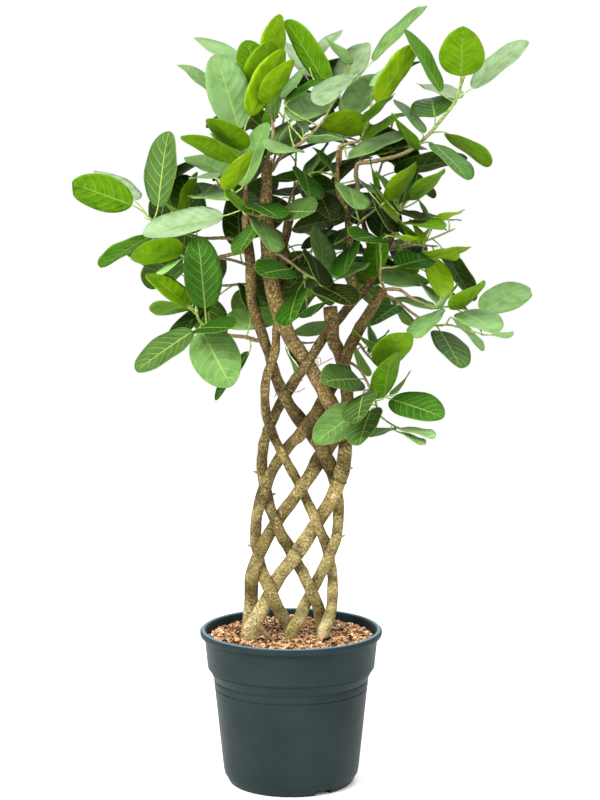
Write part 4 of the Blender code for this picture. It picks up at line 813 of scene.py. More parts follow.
def photo_leaf(route, row, shift, lean_more, roll_more, size):
    """A leaf from its row in the table. Its stalk's length, lean and roll follow from the photo.

    A blade that looks shorter than a leaf is leans towards or away from the front, and one that
    looks narrower is rolled about its midrib.
    """
    shown, base_x, base_y, tip_x, tip_y, width = row[:6]
    root = nearest_on_twig(route, *(row[6:8] or (base_x, base_y)))
    scale = (root.y - VIEW_EYE.y) / VIEW_FOCAL
    looks_long = math.hypot(tip_x - base_x, tip_y - base_y) * scale * size
    looks_wide = width * scale * size
    least = LEAF_LENGTH * (1 if width > NARROW_LEAF else YOUNG_LEAF)
    length = max(looks_long, looks_wide / LEAF_ASPECT, least)
    towards = (shown == "u") == (tip_y < base_y)
    lean = math.acos(min(looks_long / length, 1)) * (1 if towards else -1)
    lean = min(max(lean + lean_more, -MOST_LEAN), MOST_LEAN)
    base_back = root.y + shift + math.sin(lean) * STALK_LENGTH
    base = at(base_x, base_y, base_back)
    tip = at(tip_x, tip_y, base_back + looks_long / size * math.tan(lean))
    tip = base + (tip - base) * size
    axis = (tip - base).normalized()
    view = (VIEW_EYE - base).normalized()
    facing = (view - axis * view.dot(axis)).normalized() * (1 if shown == "u" else -1)
    half = LEAF_ASPECT * length / 2
    roll = math.acos(min(looks_wide / (2 * half), 1))
    options = [Matrix.Rotation(sign * roll + roll_more, 3, axis) @ facing for sign in (1, -1)]
    normal = max(options, key=lambda way: way.z)
    return {"start": root, "base": base, "tip": tip, "normal": normal, "half": half}


def tries():
    """Small changes to a leaf, the smallest first: shift in depth, lean, roll, size."""
    changes = []
    for size, roll, lean, shift in product(TRY_SIZES, TRY_ROLLS, TRY_LEANS, TRY_SHIFTS):
        cost = abs(roll) / ROLL_EASE + abs(lean) / LEAN_EASE + abs(shift) / SHIFT_EASE
        cost += (1 - size) * SIZE_COST
        changes.append((cost, shift / 1000, math.radians(lean), math.radians(roll), size))
    return sorted(changes)


def twig_route(crown, places):
    """A twig's route: it starts at the wood's surface, leaves it squarely and follows the rest."""
    spot, out = crown.nearest_wood(places[0])
    return [spot + out * TWIG_START, spot + out * TWIG_SQUARE] + list(places[1:])


def twig_shape(route, radius, grow=0.0):
    """Corners and triangles of a twig with a pointed bud at its end."""
    first, last = radius
    count = len(route)
    sizes = [TWIG_NECK * first]
    sizes += [first + (last - first) * i / (count - 1) for i in range(1, count)]
    rings = [section(place, axis, TWIG_HINT, size + grow, size + grow, TWIG_SIDES)
             for place, axis, size in zip(route, tangents(route), sizes)]
    if grow:
        rings = rings[1:]
    bud = route[-1] + (route[-1] - route[-2]).normalized() * BUD_LENGTH
    return loft(rings, bud)


def photo_leaves(crown, name, route, rows, changes):
    """The leaves of one shoot of the photographed side, each with the smallest change that fits."""
    leaves = []
    for row in rows:
        for _, shift, lean, roll, size in changes:
            leaf = photo_leaf(route, row, shift, lean, roll, size)
            if leaf_fits(crown, name, leaf):
                keep_leaf(crown, name, leaf)
                leaves.append(leaf)
                break
    return leaves


def screened(screen, leaf):
    """The share of a leaf's points that near leaves hide or that lie in the dark middle."""
    rings, tip = blade_rings(leaf)
    points = [corner for ring in rings[1:] for corner in (ring[0], ring[1], ring[3])] + [tip]
    left, top, right, bottom = DARK_MIDDLE
    hidden = 0
    for point in points:
        way = (VIEW_EYE - point).normalized()
        px, py = mark_of(point)
        if left < px < right and top < py < bottom:
            hidden += 1
        elif screen.ray_cast(point + way * RAY_START, way)[0] is not None:
            hidden += 1
    return hidden / len(points)


def swing(attempt):
    """How many steps an attempt goes aside, to one side and the other in turn."""
    return (attempt + 1) // 2 * (-1) ** attempt


def far_leaf(draw, spot, axis, angle):
    """A leaf of the far side, which leaves the twig at an angle round it."""
    out = Matrix.Rotation(angle, 3, axis) @ axis.cross(UP).normalized()
    stalk = (axis * 0.5 + out + UP * 0.15).normalized()
    blade = (axis * 0.35 + out + UP * draw.uniform(*FAR_DROOP)).normalized()
    length = draw.uniform(*FAR_LEAF_LENGTH)
    base = spot + stalk * draw.uniform(*FAR_STALK)
    normal = Matrix.Rotation(draw.uniform(*FAR_ROLL), 3, blade) @ (UP + axis * 0.3)
    return {"start": spot, "base": base, "tip": base + blade * length, "normal": normal,
            "half": LEAF_ASPECT * length / 2}


def far_route(crown, name, row):
    """The route of a far twig, turned aside in small steps until it crosses nothing."""
    px, py, back, heading, rise, length, _ = row
    start, climb = at(px, py, back), math.radians(rise)
    for attempt in range(FAR_TURNS):
        turn = math.radians(heading + FAR_TURN * swing(attempt))
        level = Vector((math.sin(turn), math.cos(turn), 0))
        places = [start]
        for step in range(FAR_STEPS):
            slope = climb + FAR_BEND * (step / FAR_STEPS - 0.5)
            way = level * math.cos(slope) + Vector((0, 0, math.sin(slope)))
            places.append(places[-1] + way * (length / FAR_STEPS))
        route = twig_route(crown, places)
        if crown.clear(name, *twig_shape(route, FAR_RADIUS, GAP), ()):
            break
    return route


def far_leaves(crown, screen, draw, name, route, count):
    """The leaves of one shoot of the far side, at the golden angle."""
    leaves = []
    for number in range(count):
        share = FAR_FIRST + (len(route) - FAR_LAST - FAR_FIRST) * number / (count - 1)
        step = int(share)
        spot = route[step].lerp(route[step + 1], share - step)
        axis = (route[step + 1] - route[step]).normalized()
        for attempt in range(FAR_TRIES):
            angle = math.radians(GOLDEN * number + FAR_ASIDE * swing(attempt))
            leaf = far_leaf(draw, spot, axis, angle)
            if screened(screen, leaf) >= SCREENED and leaf_fits(crown, name, leaf):
                keep_leaf(crown, name, leaf)
                leaves.append(leaf)
                break
    return leaves


def plan_crown():
    """Each shoot's route, radii and leaves: stems first, then all twigs, then the leaves."""
    crown = Crown()
    for number in range(STEMS):
        for rings in stem_shapes(number):
            crown.add(f"stem_{number + 1}", "wood", *loft(rings))
    plans = {}
    for name, shoot in SHOOTS.items():
        route = twig_route(crown, [at(*mark) for mark in shoot["twig"]])
        crown.add(name, "twig", *twig_shape(route, shoot["radius"]))
        plans[name] = {"route": route, "radius": shoot["radius"]}
    for name, row in FAR_SHOOTS.items():
        route = far_route(crown, name, row)
        crown.add(name, "twig", *twig_shape(route, FAR_RADIUS))
        plans[name] = {"route": route, "radius": FAR_RADIUS}
    changes = tries()
    for name, shoot in SHOOTS.items():
        route = plans[name]["route"]
        plans[name]["leaves"] = photo_leaves(crown, name, route, shoot["leaves"], changes)
    screen = crown.screen()
    draw = random.Random(SEED)
    for name, row in FAR_SHOOTS.items():
        route = plans[name]["route"]
        plans[name]["leaves"] = far_leaves(crown, screen, draw, name, route, row[-1])
    return plans


# Small helpers

ATTRIBUTE, PLACE = "ShaderNodeAttribute", "ShaderNodeTexCoord"
NOISE, CELLS = "ShaderNodeTexNoise", "ShaderNodeTexVoronoi"
SUM, LAYERS, BAND = "ShaderNodeMath", "ShaderNodeMix", "ShaderNodeValToRGB"
SCALED, PARTS, RELIEF = "ShaderNodeMapRange", "ShaderNodeSeparateXYZ", "ShaderNodeBump"


def hex_colour(text):
    """An sRGB hex colour as linear red, green, blue and alpha."""
    parts = [int(text[i:i + 2], 16) / 255 for i in (1, 3, 5)]
    return [p / 12.92 if p <= 0.04045 else ((p + 0.055) / 1.055) ** 2.4 for p in parts] + [1.0]


def feed(tree, node, sockets):
    """Give a node's sockets their numbers, hex colours or links, a node by its first output."""
    for name, value in sockets.items():
        socket = node.inputs[name]
        if isinstance(value, bpy.types.Node):
            value = next(output for output in value.outputs if output.enabled)
        if isinstance(value, bpy.types.NodeSocket):
            tree.links.new(value, socket)
        else:
            socket.default_value = hex_colour(value) if isinstance(value, str) else value


def add_node(tree, kind, sockets=None, stops=(), **settings):
    """Add a node with its settings, its colour stops and what its sockets hold."""
    node = tree.nodes.new(kind)
    for name, value in settings.items():
        setattr(node, name, value)
    feed(tree, node, sockets or {})
    if stops:
        band = node.color_ramp
        while len(band.elements) < len(stops):
            band.elements.new(0.5)
        for element, (position, colour) in zip(band.elements, stops):
            element.position = position
            element.color = hex_colour(colour) if isinstance(colour, str) else colour
    return node


def new_material(name, roughness, specular):
    """A Principled material with its own constants, and its tree and shader."""
    made = bpy.data.materials.new(name)
    made.use_nodes = True
    shader = made.node_tree.nodes["Principled BSDF"]
    feed(made.node_tree, shader, {"Roughness": roughness, "Specular IOR Level": specular})
    return made, made.node_tree, shader


def take(*pieces):
    """Select only these objects, the first one active."""
    bpy.ops.object.select_all(action="DESELECT")
    for piece in pieces:
        piece.select_set(True)
    bpy.context.view_layer.objects.active = pieces[0]


def added(primitive, **settings):
    """A new object from one of Blender's primitives, with nothing else selected."""
    bpy.ops.object.select_all(action="DESELECT")
    primitive(**settings)
    return bpy.context.object


def modified(piece, kind, **settings):
    """Give a piece a modifier with its settings, and apply it."""
    change = piece.modifiers.new(kind, kind)
    for name, value in settings.items():
        setattr(change, name, value)
    take(piece)
    bpy.ops.object.modifier_apply(modifier=change.name)


def joined(name, pieces):
    """The pieces joined in one object of that name."""
    take(*pieces)
    if len(pieces) > 1:
        bpy.ops.object.join()
    pieces[0].name = name
    pieces[0].data.name = name
    return pieces[0]


def settle(piece, slot, *nodes):
    """A finished piece: it rides on the plant and stands for its nodes; its slot is not used."""
    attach(piece, "root")
    if nodes:
        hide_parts(*nodes)


def paint(mesh, name, colours):
    """A colour for each vertex, or one hex colour for all."""
    if isinstance(colours, str):
        colours = np.tile(hex_colour(colours), (len(mesh.vertices), 1))
    layer = mesh.color_attributes.new(name, "FLOAT_COLOR", "POINT")
    layer.data.foreach_set("color", np.asarray(colours, np.float32).ravel())


def move_vertices(mesh, places):
    """Give the mesh's vertices their places."""
    mesh.vertices.foreach_set("co", np.asarray(places, np.float32).ravel())


def coordinates(mesh):
    """The mesh's vertices as an array."""
    points = np.empty(len(mesh.vertices) * 3, np.float32)
    mesh.vertices.foreach_get("co", points)
    return points.reshape(-1, 3).astype(float)


def smooth_line(points, step):
    """A smooth line through the points, about `step` apart: each place and its share of them."""
    ends = [points[0] * 2 - points[1]] + list(points) + [points[-1] * 2 - points[-2]]
    line = []
    for i in range(len(points) - 1):
        a, b, c, d = ends[i:i + 4]
        count = max(int((c - b).length / step), 1)
        for k in range(count):
            t = k / count
            place = 0.5 * (2 * b + (c - a) * t + (2 * a - 5 * b + 4 * c - d) * t ** 2
                           + (3 * b - a - 3 * c + d) * t ** 3)
            line.append((place, i + t))
    line.append((points[-1], len(points) - 1.0))
    return line


def tubes(name, lines):
    """Round closed tubes along lines of places and radii, modelled as one bevelled path."""
    path = added(bpy.ops.curve.primitive_nurbs_path_add, location=(0, 0, 0)).data
    path.splines.clear()
    path.dimensions = "3D"
    path.bevel_depth = 1.0
    path.bevel_resolution = 2
    path.use_fill_caps = True
    for line in lines:
        spline = path.splines.new("POLY")
        spline.points.add(len(line) - 1)
        for point, (place, radius) in zip(spline.points, line):
            point.co = (*place, 1)
            point.radius = radius
    bpy.ops.object.convert(target="MESH")
    piece = bpy.context.object
    piece.name = name
    piece.data.shade_smooth()
    return piece


# Leaves

def outline(along, skew, blunt):
    """A blade's half width, as a share of its greatest, at shares of its length."""
    share = np.power(np.clip(along, 0, 1), skew)
    return np.maximum(np.power(np.clip(4 * share * (1 - share), 0, 1), blunt), OUTLINE_LEAST)


def vein_phase(along, across):
    """Where a place lies along the row of side veins, from the blade's foot to its tip."""
    sweep = np.abs(across)
    return along - VEIN_SWEEP * sweep - VEIN_CURL * sweep ** 2


def leaf_master():
    """One flat blade: X along it from -1 to 1, Y across it and Z from one face to the other.

    Its second UV map holds the row of side veins and how far a place is from the midrib.
    """
    blade = added(bpy.ops.mesh.primitive_grid_add, x_subdivisions=BLADE_COLUMNS,
                  y_subdivisions=BLADE_ROWS, size=2)
    modified(blade, "SOLIDIFY", thickness=2.0, offset=0.0)
    blade.data.shade_smooth()
    corners = coordinates(blade.data)
    corners[:, 0] = np.sin(corners[:, 0] * math.pi / 2)
    move_vertices(blade.data, corners)
    flat = blade.data.uv_layers[0]
    flat.name = "blade"
    spots = np.empty(len(blade.data.loops) * 2, np.float32)
    flat.data.foreach_get("uv", spots)
    spots = spots.reshape(-1, 4, 2)
    spots[:, :, 0] = (1 + np.sin((spots[:, :, 0] - 0.5) * math.pi)) / 2
    flat.data.foreach_set("uv", spots.ravel())
    side = np.where(spots[:, :, 1].mean(1) > 0.5, 1.0, -1.0)[:, None]
    across = np.abs(spots[:, :, 1] - 0.5) * 2
    row = vein_phase(spots[:, :, 0], across) + 0.1 * VEIN_STAGGER * (side > 0)
    veins = blade.data.uv_layers.new(name="veins")
    veins.data.foreach_set("uv", np.stack((row, across), 2).astype(np.float32).ravel())
    return blade


def shaped_blade(master, leaf, form, upper, lower, contrast, draw):
    """A copy of the flat blade, bent to its leaf's form and painted on both faces."""
    sizes = bpy.context.scene.fig_leaves
    blade = master.copy()
    blade.data = master.data.copy()
    bpy.context.scene.collection.objects.link(blade)
    flat = coordinates(blade.data)
    along, across, face = (flat[:, 0] + 1) / 2, flat[:, 1], flat[:, 2]
    line = leaf["tip"] - leaf["base"]
    length = line.length
    axis = line / length
    normal = (leaf["normal"] - axis * leaf["normal"].dot(axis)).normalized()
    reach = across * outline(along, *form) * leaf["half"]
    rise = LEAF_ARCH * length * 4 * along * (1 - along)
    rise += LEAF_FOLD * (np.sqrt(reach ** 2 + FOLD_ROUND ** 2) - FOLD_ROUND)
    phases = draw.uniform(0, 6.28), draw.uniform(0, 6.28)
    waves = np.sin(2 * math.pi * draw.uniform(*WAVES) * along + np.where(across > 0, *phases))
    rise += sizes.wave_height * across ** 2 * waves * np.sin(math.pi * along) ** 0.5
    rise += draw.uniform(*TIP_DROOP) * length * np.clip((along - 0.7) / 0.3, 0, 1) ** 2
    rib = np.exp(-(across / RIB_REACH) ** 2) * (1 - 0.75 * along)
    thick = sizes.thickness / 2 * face
    thick -= rib * np.where(face < 0, sizes.rib_height, 0.35 * sizes.rib_height)
    places = np.array(leaf["base"]) + np.outer(along * length, axis)
    places += np.outer(reach, axis.cross(normal))
    places += np.outer(rise, normal)
    room = EDGE_SPARE + sizes.thickness / 2 + sizes.rib_height
    places = np.clip(places, np.array(CAD_BOX[0]) + room, np.array(CAD_BOX[1]) - room)
    places += np.outer(thick, normal)
    move_vertices(blade.data, places)
    veins = blade.data.uv_layers["veins"].data
    rows = np.empty(len(veins) * 2, np.float32)
    veins.foreach_get("uv", rows)
    rows[::2] *= draw.uniform(*VEIN_PAIRS)
    veins.foreach_set("uv", rows)
    shade = draw.uniform(*LEAF_SHADES)
    tones = np.where((face > 0)[:, None], hex_colour(upper), hex_colour(lower)) * shade
    tones[:, 3] = 1
    paint(blade.data, "tone", tones)
    marks = np.zeros((len(flat), 4))
    marks[:, 0] = face > 0
    marks[:, 1] = contrast
    marks[:, 3] = 1
    paint(blade.data, "mark", marks)
    return blade


def leaf_colours(name, number):
    """The hex colours of a leaf's upper and lower face, and how plainly its veins show."""
    if name not in SHOOTS:
        return FAR_UPPER_SHADED, FAR_LOWER_SHADED, FAR_VEINS
    tone, contrast = LIT_TONES[LEAF_LIT_TONES[name][number]]
    if SHOOTS[name]["leaves"][number][0] == "u":
        return tone, BACK_OF_SHOWN_UPPER, contrast
    return BACK_OF_SHOWN_LOWER, tone, contrast


def stalk_line(leaf):
    """The places and radii of a leaf's stalk, which leaves the twig and turns into the midrib."""
    start, base = leaf["start"], leaf["base"]
    axis = (leaf["tip"] - base).normalized()
    bend = base - axis * (base - start).length * 0.4
    line = []
    for t, radius in STALK_TAPER:
        place = start.lerp(bend, t).lerp(bend.lerp(base, t), t)
        line.append((place, STALK_RADIUS * radius))
    return line + [(base + axis * STALK_INSIDE, STALK_RADIUS * 0.6)]


def twig_line(plan):
    """The places and radii of a twig with its leaf scars and its pointed bud."""
    first, last = plan["radius"]
    route = plan["route"]
    line, travelled, before = [], 0.0, None
    for place, share in smooth_line(route, TWIG_STEP):
        travelled += (place - before).length if before is not None else 0
        before = place
        radius = first + (last - first) * share / (len(route) - 1)
        off = (travelled + SCAR_START) % SCAR_SPACING - SCAR_SPACING / 2
        line.append((place, radius * (1 + SCAR_SWELL * math.exp(-(off / SCAR_REACH) ** 2))))
    way = (route[-1] - route[-2]).normalized()
    for ahead, size in BUD_RINGS:
        line.append((route[-1] + way * (BUD_LENGTH * ahead), last * size))
    return line


def paint_wood(piece, line):
    """Colour a twig from its woody start to its green end and bud."""
    places = np.array([tuple(place) for place, _ in line])
    points = coordinates(piece.data)
    last = len(line) - len(BUD_RINGS) - 1
    nearest = ((points[:, None] - places[None]) ** 2).sum(2).argmin(1) / last
    share = np.clip((nearest - 0.35) / 0.4, 0, 1)[:, None]
    tones = np.array(hex_colour(TWIG_BROWN)) * (1 - share)
    tones += np.array(hex_colour(TWIG_GREEN)) * share
    tones = np.where((nearest > 1)[:, None], hex_colour(BUD_GREEN), tones)
    paint(piece.data, "tone", tones)


def build_foliage(name, plan, master, blade_material, wood_material):
    """One shoot: its twig, its stalks and its blades in one piece."""
    draw = random.Random(name)
    line = twig_line(plan)
    twig = tubes("twig", [line])
    paint_wood(twig, line)
    stalks = tubes("stalks", [stalk_line(leaf) for leaf in plan["leaves"]])
    paint(stalks.data, "tone", STALK_GREEN)
    for wood in (twig, stalks):
        wood.data.materials.append(wood_material)
    blades = []
    for number, leaf in enumerate(plan["leaves"]):
        form = draw.uniform(*OUTLINE_SKEW), draw.uniform(*OUTLINE_BLUNT)
        if (name, number) == HEART_LEAF:
            form = HEART_OUTLINE
        blade = shaped_blade(master, leaf, form, *leaf_colours(name, number), draw)
        blade.data.materials.append(blade_material)
        blades.append(blade)
    settle(joined("foliage_" + name, blades + [twig, stalks]), "leaf", name)


def leaf_blade_material():
    """Living fig blade, grown: a soft waxy sheen over matt green, a pale midrib and side veins.

    The skin swells a little between the side veins, which are 13 to 18 mm apart, and a part of
    the light comes through the blade. The green clouds over 24 mm and the finest veins make
    meshes of 2 by 4 mm. The skin's pores are drawn 2.6 mm apart, as coarse as they need to show.
    """
    made, tree, shader = new_material("living leaf blade", 0.45, 0.045)
    tone = add_node(tree, ATTRIBUTE, attribute_name="tone")
    mark = add_node(tree, ATTRIBUTE, attribute_name="mark")
    marks = add_node(tree, "ShaderNodeSeparateColor", {"Color": mark})
    rows = add_node(tree, "ShaderNodeUVMap", uv_map="veins")
    along = add_node(tree, PARTS, {0: add_node(tree, "ShaderNodeUVMap", uv_map="blade")})
    parts = add_node(tree, PARTS, {0: rows})
    across = parts.outputs["Y"]
    where = add_node(tree, PLACE).outputs["Object"]
    spots = add_node(tree, NOISE, {"Vector": where, "Scale": 42.0, "Detail": 4.0})
    # The side veins: a row that wanders a little, fainter towards the margin
    row = add_node(tree, SUM, {0: spots, 1: 0.35, 2: parts.outputs["X"]},
                   operation="MULTIPLY_ADD")
    off = add_node(tree, SUM, {0: row, 1: 0.5}, operation="PINGPONG")
    vein = add_node(tree, SCALED, {"Value": off, "From Min": 0.015, "From Max": 0.070,
                                   "To Min": 1.0, "To Max": 0.0})
    fade = add_node(tree, SCALED, {"Value": across, "From Min": 0.45, "From Max": 1.0,
                                   "To Min": 0.70, "To Max": 0.15})
    vein = add_node(tree, SUM, {0: vein, 1: fade}, operation="MULTIPLY")
    # The midrib, which narrows towards the tip
    narrow = add_node(tree, SCALED, {"Value": along, "To Min": 0.6, "To Max": 1.8})
    rib = add_node(tree, SUM, {0: across, 1: narrow}, operation="MULTIPLY")
    rib = add_node(tree, SCALED, {"Value": rib, "From Min": 0.022, "From Max": 0.060,
                                  "To Min": 1.0, "To Max": 0.0})
    lines = add_node(tree, SUM, {0: rib, 1: vein}, operation="MAXIMUM")
    # The green field with its clouding, the net of finest veins and the pale margin
    shade = add_node(tree, BAND, {0: spots},
                     ((0.32, "#c3cdb4"), (0.52, "#f2f4ea"), (0.70, "#ffffff")))
    field = add_node(tree, LAYERS, {0: 0.9, 6: tone, 7: shade}, data_type="RGBA",
                     blend_type="MULTIPLY")
    net = add_node(tree, CELLS, {"Vector": rows, "Scale": 9.0}, feature="DISTANCE_TO_EDGE")
    net = add_node(tree, SCALED, {"Value": net, "From Max": 0.08, "To Min": 0.13, "To Max": 0.0})
    margin = add_node(tree, SCALED, {"Value": across, "From Min": 0.93, "From Max": 0.99,
                                     "To Max": 0.40})
    sizes = bpy.context.scene.fig_leaves
    plain = add_node(tree, SUM, {0: marks.outputs["Green"], 1: sizes.vein_strength},
                     operation="MULTIPLY")
    strength = add_node(tree, SUM, {0: lines, 1: plain}, operation="MULTIPLY")
    colour = field
    for share, pale in ((net, "#b8d060"), (margin, "#96aa50"), (strength, sizes.vein_colour)):
        colour = add_node(tree, LAYERS, {0: share, 6: colour, 7: pale}, data_type="RGBA")
    # The waxy upper face shines more than the matt lower one
    sheen = add_node(tree, SCALED, {"Value": marks.outputs["Red"], "To Min": 0.58,
                                    "To Max": 0.44})
    rough = add_node(tree, SUM, {0: spots, 1: 0.14, 2: sheen}, operation="MULTIPLY_ADD")
    fine = add_node(tree, NOISE, {"Vector": where, "Scale": 380.0, "Detail": 2.0})
    height = add_node(tree, SUM, {0: lines, 1: -0.35, 2: off}, operation="MULTIPLY_ADD")
    height = add_node(tree, SUM, {0: fine, 1: 0.15, 2: height}, operation="MULTIPLY_ADD")
    bump = add_node(tree, RELIEF, {"Height": height, "Strength": 0.55, "Distance": 0.0022})
    feed(tree, shader, {"Base Color": colour, "Roughness": rough, "Normal": bump})
    glow = add_node(tree, "ShaderNodeHueSaturation", {"Color": colour, "Hue": 0.485,
                                                      "Saturation": 1.2, "Value": 1.35})
    through = add_node(tree, "ShaderNodeBsdfTranslucent", {"Color": glow})
    both = add_node(tree, "ShaderNodeMixShader", {0: 0.34, 1: shader, 2: through})
    feed(tree, tree.nodes["Material Output"], {"Surface": both})
    return made


def grained_material(name, surface, grain, stops, relief, over_tone=None):
    """A finish of one fine grain, which shades the colour and raises the skin.

    With `over_tone`, the grain's shade lies that strongly over the piece's own tone.
    """
    made, tree, shader = new_material(name, *surface)
    where = add_node(tree, PLACE).outputs["Object"]
    spots = add_node(tree, NOISE, {"Vector": where, "Scale": grain[0], "Detail": grain[1]})
    colour = add_node(tree, BAND, {0: spots}, stops)
    if over_tone is not None:
        tone = add_node(tree, ATTRIBUTE, attribute_name="tone")
        colour = add_node(tree, LAYERS, {0: over_tone, 6: tone, 7: colour}, data_type="RGBA",
                          blend_type="MULTIPLY")
    bump = add_node(tree, RELIEF, {"Height": spots, "Strength": relief[0],
                                   "Distance": relief[1]})
    feed(tree, shader, {"Base Color": colour, "Normal": bump})
    return made


def twig_material():
    """Young fig wood and stalks, grown: smooth green rind that turns to tan bark, grain 4 mm."""
    return grained_material("green twig rind", (0.55, 0.35), (240.0, 3.0),
                            ((0.35, "#a09a86"), (0.62, "#ffffff")), (0.4, 0.0006), 0.9)


# Stems

def ring_measures(ring):
    """The middle, half width and half depth of a plain ring."""
    middle = sum(ring, Vector()) / len(ring)
    deep = (ring[0] - ring[3]).length / 2
    wide = (ring[1] - ring[5]).length / (2 * math.sin(math.pi / 3))
    return middle, wide, deep


def graft_growth(place):
    """How much thicker a stem is at a place, where crossing stems have grown together."""
    growth = 1.0
    for px, py, swell in GRAFTS:
        spot = at(px, py, place.y)
        growth += swell * math.exp(-((place - spot).length / GRAFT_REACH) ** 2)
    return growth


def stem_line(number):
    """The middle and half width of a stem, ring by ring."""
    return [ring_measures(ring)[:2] for ring in stem_shapes(number)[0]]


def nearest_stem(px, py):
    """The foremost stem's place, direction and half width where the photo's pixel meets it."""
    found = []
    for number in range(STEMS):
        line = stem_line(number)
        for (before, _), (place, wide), (after, _) in zip(line, line[1:], line[2:]):
            gap = (place - at(px, py, place.y)).length
            found.append((gap + BEHIND * place.y, place, (after - before).normalized(), wide))
    _, place, way, wide = min(found, key=lambda one: one[0])
    shift = at(px, py, place.y) - place
    return place + way * shift.dot(way), way, wide


def wire_line(px, py, draw):
    """Two turns of thin wire round a stem, with its end twisted off."""
    place, way, wide = nearest_stem(px, py)
    line = []
    for turn in range(2 * WIRE_SIDES + 1):
        middle = place + way * WIRE_PITCH * (turn / WIRE_SIDES - 1)
        spot = section(middle, way, FRONT, wide, wide, WIRE_SIDES)[turn % WIRE_SIDES]
        out = (spot - place).normalized()
        line.append((spot + out * (WIRE_OFF + draw.uniform(0, WIRE_LOOSE)), WIRE_RADIUS))
    end = line[-1][0]
    end = end + (end - place).normalized() * 0.004
    twist = Vector((draw.uniform(-1, 1), 0, draw.uniform(-1, 1))) * 0.003
    return line + [(end + twist, WIRE_RADIUS)]


def stub_line(px, py, side, length):
    """A short broken twig that stands out at one side of a stem."""
    place, _, wide = nearest_stem(px, py)
    out = Vector((side, -0.35, 0.45)).normalized()
    start = place + Vector((side, 0, 0)) * wide * 0.7
    places = start, start + out * length * 0.6, start + out * (length + 0.004)
    return list(zip(places, STUB_RADII))


def root_line(places):
    """A thin root that hangs in front of the stems."""
    line = [at(px, py, ROOT_BACK - ROOT_SWAY * (number % 2))
            for number, (px, py) in enumerate(places)]
    return [(place, ROOT_RADIUS) for place, _ in smooth_line(line, 0.003)]


def sealed():
    """Merge the doubles of the mesh in edit mode, close its ends and turn its faces outwards."""
    bpy.ops.mesh.select_all(action="SELECT")
    bpy.ops.mesh.remove_doubles(threshold=WELD)
    bpy.ops.mesh.select_all(action="DESELECT")
    bpy.ops.mesh.select_non_manifold()
    bpy.ops.mesh.fill_holes(sides=0)
    bpy.ops.mesh.select_all(action="SELECT")
    bpy.ops.mesh.normals_make_consistent(inside=False)
    bpy.ops.object.mode_set(mode="OBJECT")


def bark_tube(rings, draw):
    """A stem or branch with lumps, wrinkles and knots: a sheet that is wrapped and closed."""
    sizes = bpy.context.scene.fig_stems
    marks = [ring_measures(ring) for ring in rings]
    line = smooth_line([mark[0] for mark in marks], RING_STEP)
    shares = [share for _, share in line]
    grown = np.array([graft_growth(place) for place, _ in line])
    wides = np.interp(shares, range(len(marks)), [mark[1] for mark in marks]) * grown
    deeps = np.interp(shares, range(len(marks)), [mark[2] for mark in marks]) * grown
    ways = tangents([place for place, _ in line])
    shade = draw.uniform(*STEM_SHADES)
    knots = []
    for _ in range(max(len(line) // KNOT_SPACING, 1)):
        spot = draw.randrange(len(line))
        angle = draw.uniform(0, 2 * math.pi)
        ring = section(line[spot][0], ways[spot], FRONT, wides[spot], deeps[spot], 360)
        knots.append((ring[int(math.degrees(angle))], draw.uniform(*KNOT_HEIGHT)))
    piece = added(bpy.ops.mesh.primitive_grid_add, x_subdivisions=len(line) - 1,
                  y_subdivisions=RING_SIDES, size=2)
    flat = coordinates(piece.data)
    columns = np.rint((flat[:, 0] + 1) / 2 * (len(line) - 1)).astype(int)
    rows = np.rint((flat[:, 1] + 1) / 2 * RING_SIDES).astype(int) % RING_SIDES
    rings = [section(place, way, FRONT, wide, max(deep, LEAST_DEEP * wide), RING_SIDES)
             for (place, _), way, wide, deep in zip(line, ways, wides, deeps)]
    places, grain = [], []
    for column, row in zip(columns, rows):
        corner = rings[column][row]
        lump = noise.noise(corner * LUMP_SCALE)
        wrinkle = noise.noise(Vector([corner[i] * WRINKLE_SCALES[i] for i in range(3)]))
        wrinkle += FINE_SHARE * noise.noise(corner * FINE_SCALE)
        push = sizes.lumps * lump + sizes.wrinkles * wrinkle
        for knot, height in knots:
            push += height * math.exp(-((corner - knot).length / KNOT_REACH) ** 2)
        places.append(corner + (corner - line[column][0]).normalized() * push)
        # Third channel: the stem's tone, lower where stems have grown together, as painted shade
        tone_and_graft_shade = shade - SHADE_AT_GRAFT * (grown[column] - 1)
        grain.append((0.5 + 0.5 * lump, 0.5 + 0.5 * wrinkle, tone_and_graft_shade, 1))
    move_vertices(piece.data, [tuple(place) for place in places])
    paint(piece.data, "grain", grain)
    bpy.ops.object.mode_set(mode="EDIT")
    sealed()
    bpy.ops.object.shade_smooth_by_angle(angle=math.radians(BARK_SMOOTH))
    return piece


